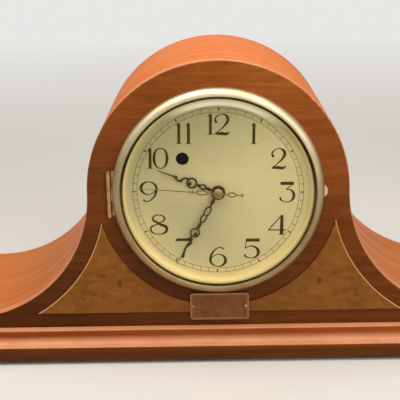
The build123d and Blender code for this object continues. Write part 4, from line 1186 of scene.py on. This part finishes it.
@dataclass
class BezelDoor:
    """The hinged bezel with its domed glass, hinge and catch, and the plaque below it."""

    # The ring carries painted shade over its lower half and a painted shadow at its inner edge, strongest
    # at the top.
    seam_reach: Span = (74.9 * MM / DIAL_RADIUS, 74.4 * MM / DIAL_RADIUS)
    brass: Finish = WornFinish(
        "bezel_brass", tone(206, 190, 156), tone(190, 171, 134), metallic=1.0, rough=(0.40, 0.52),
        patch_scale=34.0, speck_share=0.1, speck_depth=0.000006,
        wear=(Fade((0.60, 0.49, 0.36, 1.0), level=(0.18, 0.11)),
              Shade(tone(58, 42, 18), level=(-0.04, 0.02), strength=(0.225, 0.9), edges=(seam_reach,))))
    nub_brass: Finish = WornFinish(
        "nub_brass", tone(230, 204, 158), tone(206, 178, 134), metallic=1.0, rough=(0.34, 0.46))
    hinge_brass: Finish = WornFinish(
        "hinge_brass", tone(206, 162, 114), tone(160, 112, 66), metallic=1.0, rough=(0.26, 0.42),
        patch_scale=90.0)
    glass: Finish = GlassFinish("domed_glass", tone(252, 253, 251))

    def plaque_finish(self) -> Finish:
        """Gives the plaque's finish, with a painted highlight along the plate's own edges."""
        low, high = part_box("plaque")
        return PlaqueFinish(
            "plaque_copper", tuple((low + high) / 2), (high.x - low.x) / 2, (high.z - low.z) / 2,
            base=tone(124, 77, 42), dull=tone(104, 62, 32), rubbed=tone(190, 142, 106))

    def build(self) -> None:
        """Dresses the door's metal and glass, and the plaque."""
        dress(self.brass, "bezel_ring", "glass_retainer")
        dress(self.nub_brass, "bezel_nub")
        dress(self.hinge_brass, "hinge_bezel_leaf", "hinge_case_leaf", "hinge_pin", "plaque_pins",
              "catch_spring")
        dress(self.glass, "bezel_glass")
        dress(self.plaque_finish(), "plaque")


@dataclass
class HandWork:
    """The pierced hands and the brass cap over the second hand's boss.

    The cap's rings are given as radius and height over the dial's back, in millimetres.
    """

    cap_rings: tuple[Span, ...] = (
        (3.8, 6.58), (3.8, 6.85), (3.5, 7.25), (2.9, 7.65), (2.0, 7.95), (0.9, 8.10))
    cap_sides: int = 48
    bronze: Finish = WornFinish(
        "hand_bronze", tone(64, 46, 12), tone(86, 64, 22), metallic=0.5, rough=(0.30, 0.46),
        patch_scale=120.0, shine=0.2)
    second_brass: Finish = WornFinish(
        "second_brass", tone(156, 132, 86), tone(128, 105, 64), metallic=0.7, rough=(0.26, 0.40),
        patch_scale=150.0)
    cap_brass: Finish = WornFinish(
        "cap_brass", tone(150, 126, 80), tone(128, 104, 62), metallic=0.5, rough=(0.34, 0.48),
        patch_scale=160.0)

    def hub_cap(self) -> None:
        """Draws the cap up ring by ring from a disc that faces the front."""
        start_fresh()
        radius, rise = self.cap_rings[0]
        spot = DIAL_CENTRE - Vector((0.0, rise * MM, 0.0))
        bpy.ops.mesh.primitive_circle_add(
            vertices=self.cap_sides, radius=radius * MM, fill_type="NGON", location=spot,
            rotation=(math.pi / 2, 0.0, 0.0))
        cap = bpy.context.object
        bpy.ops.object.transform_apply()
        open_mesh()
        for (before, low), (after, high) in zip(self.cap_rings, self.cap_rings[1:]):
            bpy.ops.mesh.extrude_region_move(
                TRANSFORM_OT_translate={"value": (0.0, (low - high) * MM, 0.0)})
            middle = DIAL_CENTRE - Vector((0.0, high * MM, 0.0))
            bpy.ops.transform.resize(value=(after / before,) * 3, center_override=middle)
        bpy.ops.object.mode_set(mode="OBJECT")
        settle(joined("second_hub_cap", [cap]), Body.SECOND_TRAIN, self.cap_brass)

    def build(self) -> None:
        """Dresses the hands and makes the cap."""
        dress(self.bronze, "minute_hand", "hour_hand")
        dress(self.second_brass, "second_hand")
        self.hub_cap()


@dataclass
class Movement:
    """The works inside and what shows at the back: plates, wheels, motor, cover and knobs."""

    brass: Finish = WornFinish(
        "movement_brass", tone(204, 166, 88), tone(168, 130, 66), metallic=1.0, rough=(0.28, 0.45),
        speck_stretch=(1800.0, 400.0, 120.0))
    steel: Finish = WornFinish(
        "turned_steel", tone(172, 172, 168), tone(132, 130, 126), metallic=1.0, rough=(0.26, 0.42),
        patch_scale=200.0)
    can: Finish = WornFinish(
        "can_metal", tone(192, 190, 178), tone(158, 154, 142), metallic=0.9, rough=(0.34, 0.48))
    fibre: Finish = WornFinish(
        "bobbin_fibre", tone(92, 62, 38), tone(66, 42, 26), rough=(0.5, 0.65))
    board: Finish = WornFinish(
        "cover_board", tone(48, 38, 30), tone(70, 57, 45), rough=(0.62, 0.82), patch_scale=38.0,
        speck_stretch=(520.0, 520.0, 520.0), speck_depth=0.00008, speck_share=0.5)
    rubber: Finish = WornFinish(
        "bush_rubber", tone(26, 26, 26), tone(44, 43, 41), rough=(0.6, 0.8))
    plastic: Finish = WornFinish(
        "knob_plastic", tone(52, 30, 18), tone(86, 50, 28), rough=(0.20, 0.34), patch_scale=130.0,
        lacquer=0.4)
    iron: Finish = LayeredFinish(
        "stacked_iron", tone(88, 88, 92), tone(52, 48, 46), layer_axis=Axis.Y,
        layers_per_metre=900.0, metallic=0.8, rough=(0.42, 0.6))
    tape: Finish = LayeredFinish(
        "winding_tape", tone(70, 44, 26), tone(40, 24, 14), layer_axis=Axis.X,
        layers_per_metre=240.0, metallic=0.0, rough=(0.4, 0.58))

    def build(self) -> None:
        """Dresses every solid of the movement and the back."""
        dress(self.brass, "front_plate", "back_plate", "centre_bush", "second_wheel", "third_wheel",
              "centre_wheel", "minute_wheel", "hour_wheel", "clutch_collar")
        dress(self.steel, "base_screws", "back_cover_screws", "dial_feet", "dial_nuts",
              "hinge_screws", "catch_screw", "plate_pillars", "pillar_screws", "movement_screws",
              "minute_wheel_stud", "motor_spacers", "motor_screws", "second_arbor", "rotor_pinion",
              "third_arbor", "minute_arbor", "clutch_spring", "set_shaft", "indicator_shaft")
        dress(self.can, "rotor_can")
        dress(self.fibre, "coil_bobbin")
        dress(self.board, "back_cover")
        dress(self.rubber, "cord_bush")
        dress(self.plastic, "set_knob", "reset_knob")
        dress(self.iron, "field_core")
        dress(self.tape, "coil_winding")


@dataclass(frozen=True)
class Lamp:
    """A soft rectangular lamp, aimed at the clock's middle unless it says otherwise."""

    name: str
    spot: Point
    size: Span
    watts: float
    colour: Colour
    aim: Point = (0.0, 0.0, 0.11)


@dataclass
class Studio:
    """A pale floor, soft lamps, a plain sky and the camera."""

    floor_colour: Colour = tone(214, 211, 206)
    floor_half: float = 4.0
    sky_colour: Colour = (0.95, 0.94, 0.92, 1.0)
    sky_seen: float = 0.85
    sky_fill: float = 0.23
    sky_mirrored: Span = (0.25, 1.0)
    sky_top: float = 0.3
    lamps: tuple[Lamp, ...] = (
        Lamp("overhead_lamp", (-0.08, -0.25, 0.86), (1.0, 0.7), 8.7, (1.0, 0.95, 0.88, 1.0)),
        Lamp("front_lamp", (0.9, -1.45, 0.9), (1.0, 1.0), 13.8, (1.0, 0.97, 0.93, 1.0)),
        Lamp("backdrop_lamp", (0.0, 1.2, 2.2), (2.4, 1.0), 45.0, (1.0, 0.98, 0.96, 1.0),
             (0.0, 4.0, 0.0)))
    camera_spot: Point = (-6.82 * MM, -776.05 * MM, 340.9 * MM)
    camera_yaw: float = -0.010
    camera_pitch: float = 0.292
    camera_roll: float = -0.019
    camera_lens: float = 87.14

    def floor(self) -> None:
        """Lays the floor and gives it its paint."""
        start_fresh()
        bpy.ops.mesh.primitive_plane_add(size=2 * self.floor_half, location=ORIGIN)
        floor = joined("studio_floor", [bpy.context.object])
        paint = FloorFinish("floor_paint", self.floor_colour, self.sky_colour, self.sky_seen)
        floor.data.materials.append(paint.material())

    def sky(self) -> None:
        """Makes a plain sky: pale where it is seen, brighter overhead in mirrors, faint as fill."""
        world = bpy.data.worlds.new("studio_sky")
        bpy.context.scene.world = world
        graph = Graph(world, "ShaderNodeOutputWorld")
        rays = graph.add("ShaderNodeLightPath", {}).outputs
        upward = graph.parts(graph.where("Generated"))["Z"]
        mirrored = graph.fit(upward, 0.0, self.sky_top, *self.sky_mirrored)
        strength = graph.fit(rays["Is Glossy Ray"], 0.0, 1.0, self.sky_fill, mirrored)
        for ray in ("Is Transmission Ray", "Is Camera Ray"):
            strength = graph.fit(rays[ray], 0.0, 1.0, strength, self.sky_seen)
        sky = graph.add("ShaderNodeBackground", {"Color": self.sky_colour, "Strength": strength})
        graph.put(graph.end, sky.outputs["Background"])

    def hang(self, lamp: Lamp) -> None:
        """Hangs one lamp and aims it.

        Args:
            lamp: The lamp.
        """
        light = bpy.data.lights.new(lamp.name, "AREA")
        light.shape = "RECTANGLE"
        light.size, light.size_y = lamp.size
        light.energy = lamp.watts
        light.color = lamp.colour[:3]
        holder = bpy.data.objects.new(lamp.name, light)
        holder.location = lamp.spot
        aim = Vector(lamp.aim) - Vector(lamp.spot)
        holder.rotation_euler = aim.to_track_quat("-Z", "Y").to_euler()
        bpy.context.scene.collection.objects.link(holder)

    def camera(self) -> None:
        """Sets the camera where the photograph was taken from."""
        turn = Matrix.Rotation(-self.camera_yaw, 4, "Z")
        tilt = Matrix.Rotation(math.pi / 2 - self.camera_pitch, 4, "X")
        roll = Matrix.Rotation(self.camera_roll, 4, "Z")
        lens = bpy.data.cameras.new("photo_camera")
        lens.lens = self.camera_lens
        lens.sensor_width = 36.0
        lens.clip_start = 0.01
        holder = bpy.data.objects.new("photo_camera", lens)
        holder.matrix_world = Matrix.Translation(self.camera_spot) @ turn @ tilt @ roll
        bpy.context.scene.collection.objects.link(holder)
        bpy.context.scene.camera = holder

    def build(self) -> None:
        """Sets up the floor, sky, lamps and camera."""
        bpy.context.scene.view_settings.view_transform = "Standard"
        self.floor()
        self.sky()
        for lamp in self.lamps:
            self.hang(lamp)
        self.camera()
        LOG.info("studio set up with %d lamps", len(self.lamps))


def main() -> None:
    """Builds and dresses the clock in order."""
    logging.basicConfig(level=logging.INFO, format="%(message)s")
    for part in (Studio(), Woodwork(), BezelDoor(), DialWork(), HandWork(), Movement()):
        part.build()


if __name__ == "__main__":
    main()
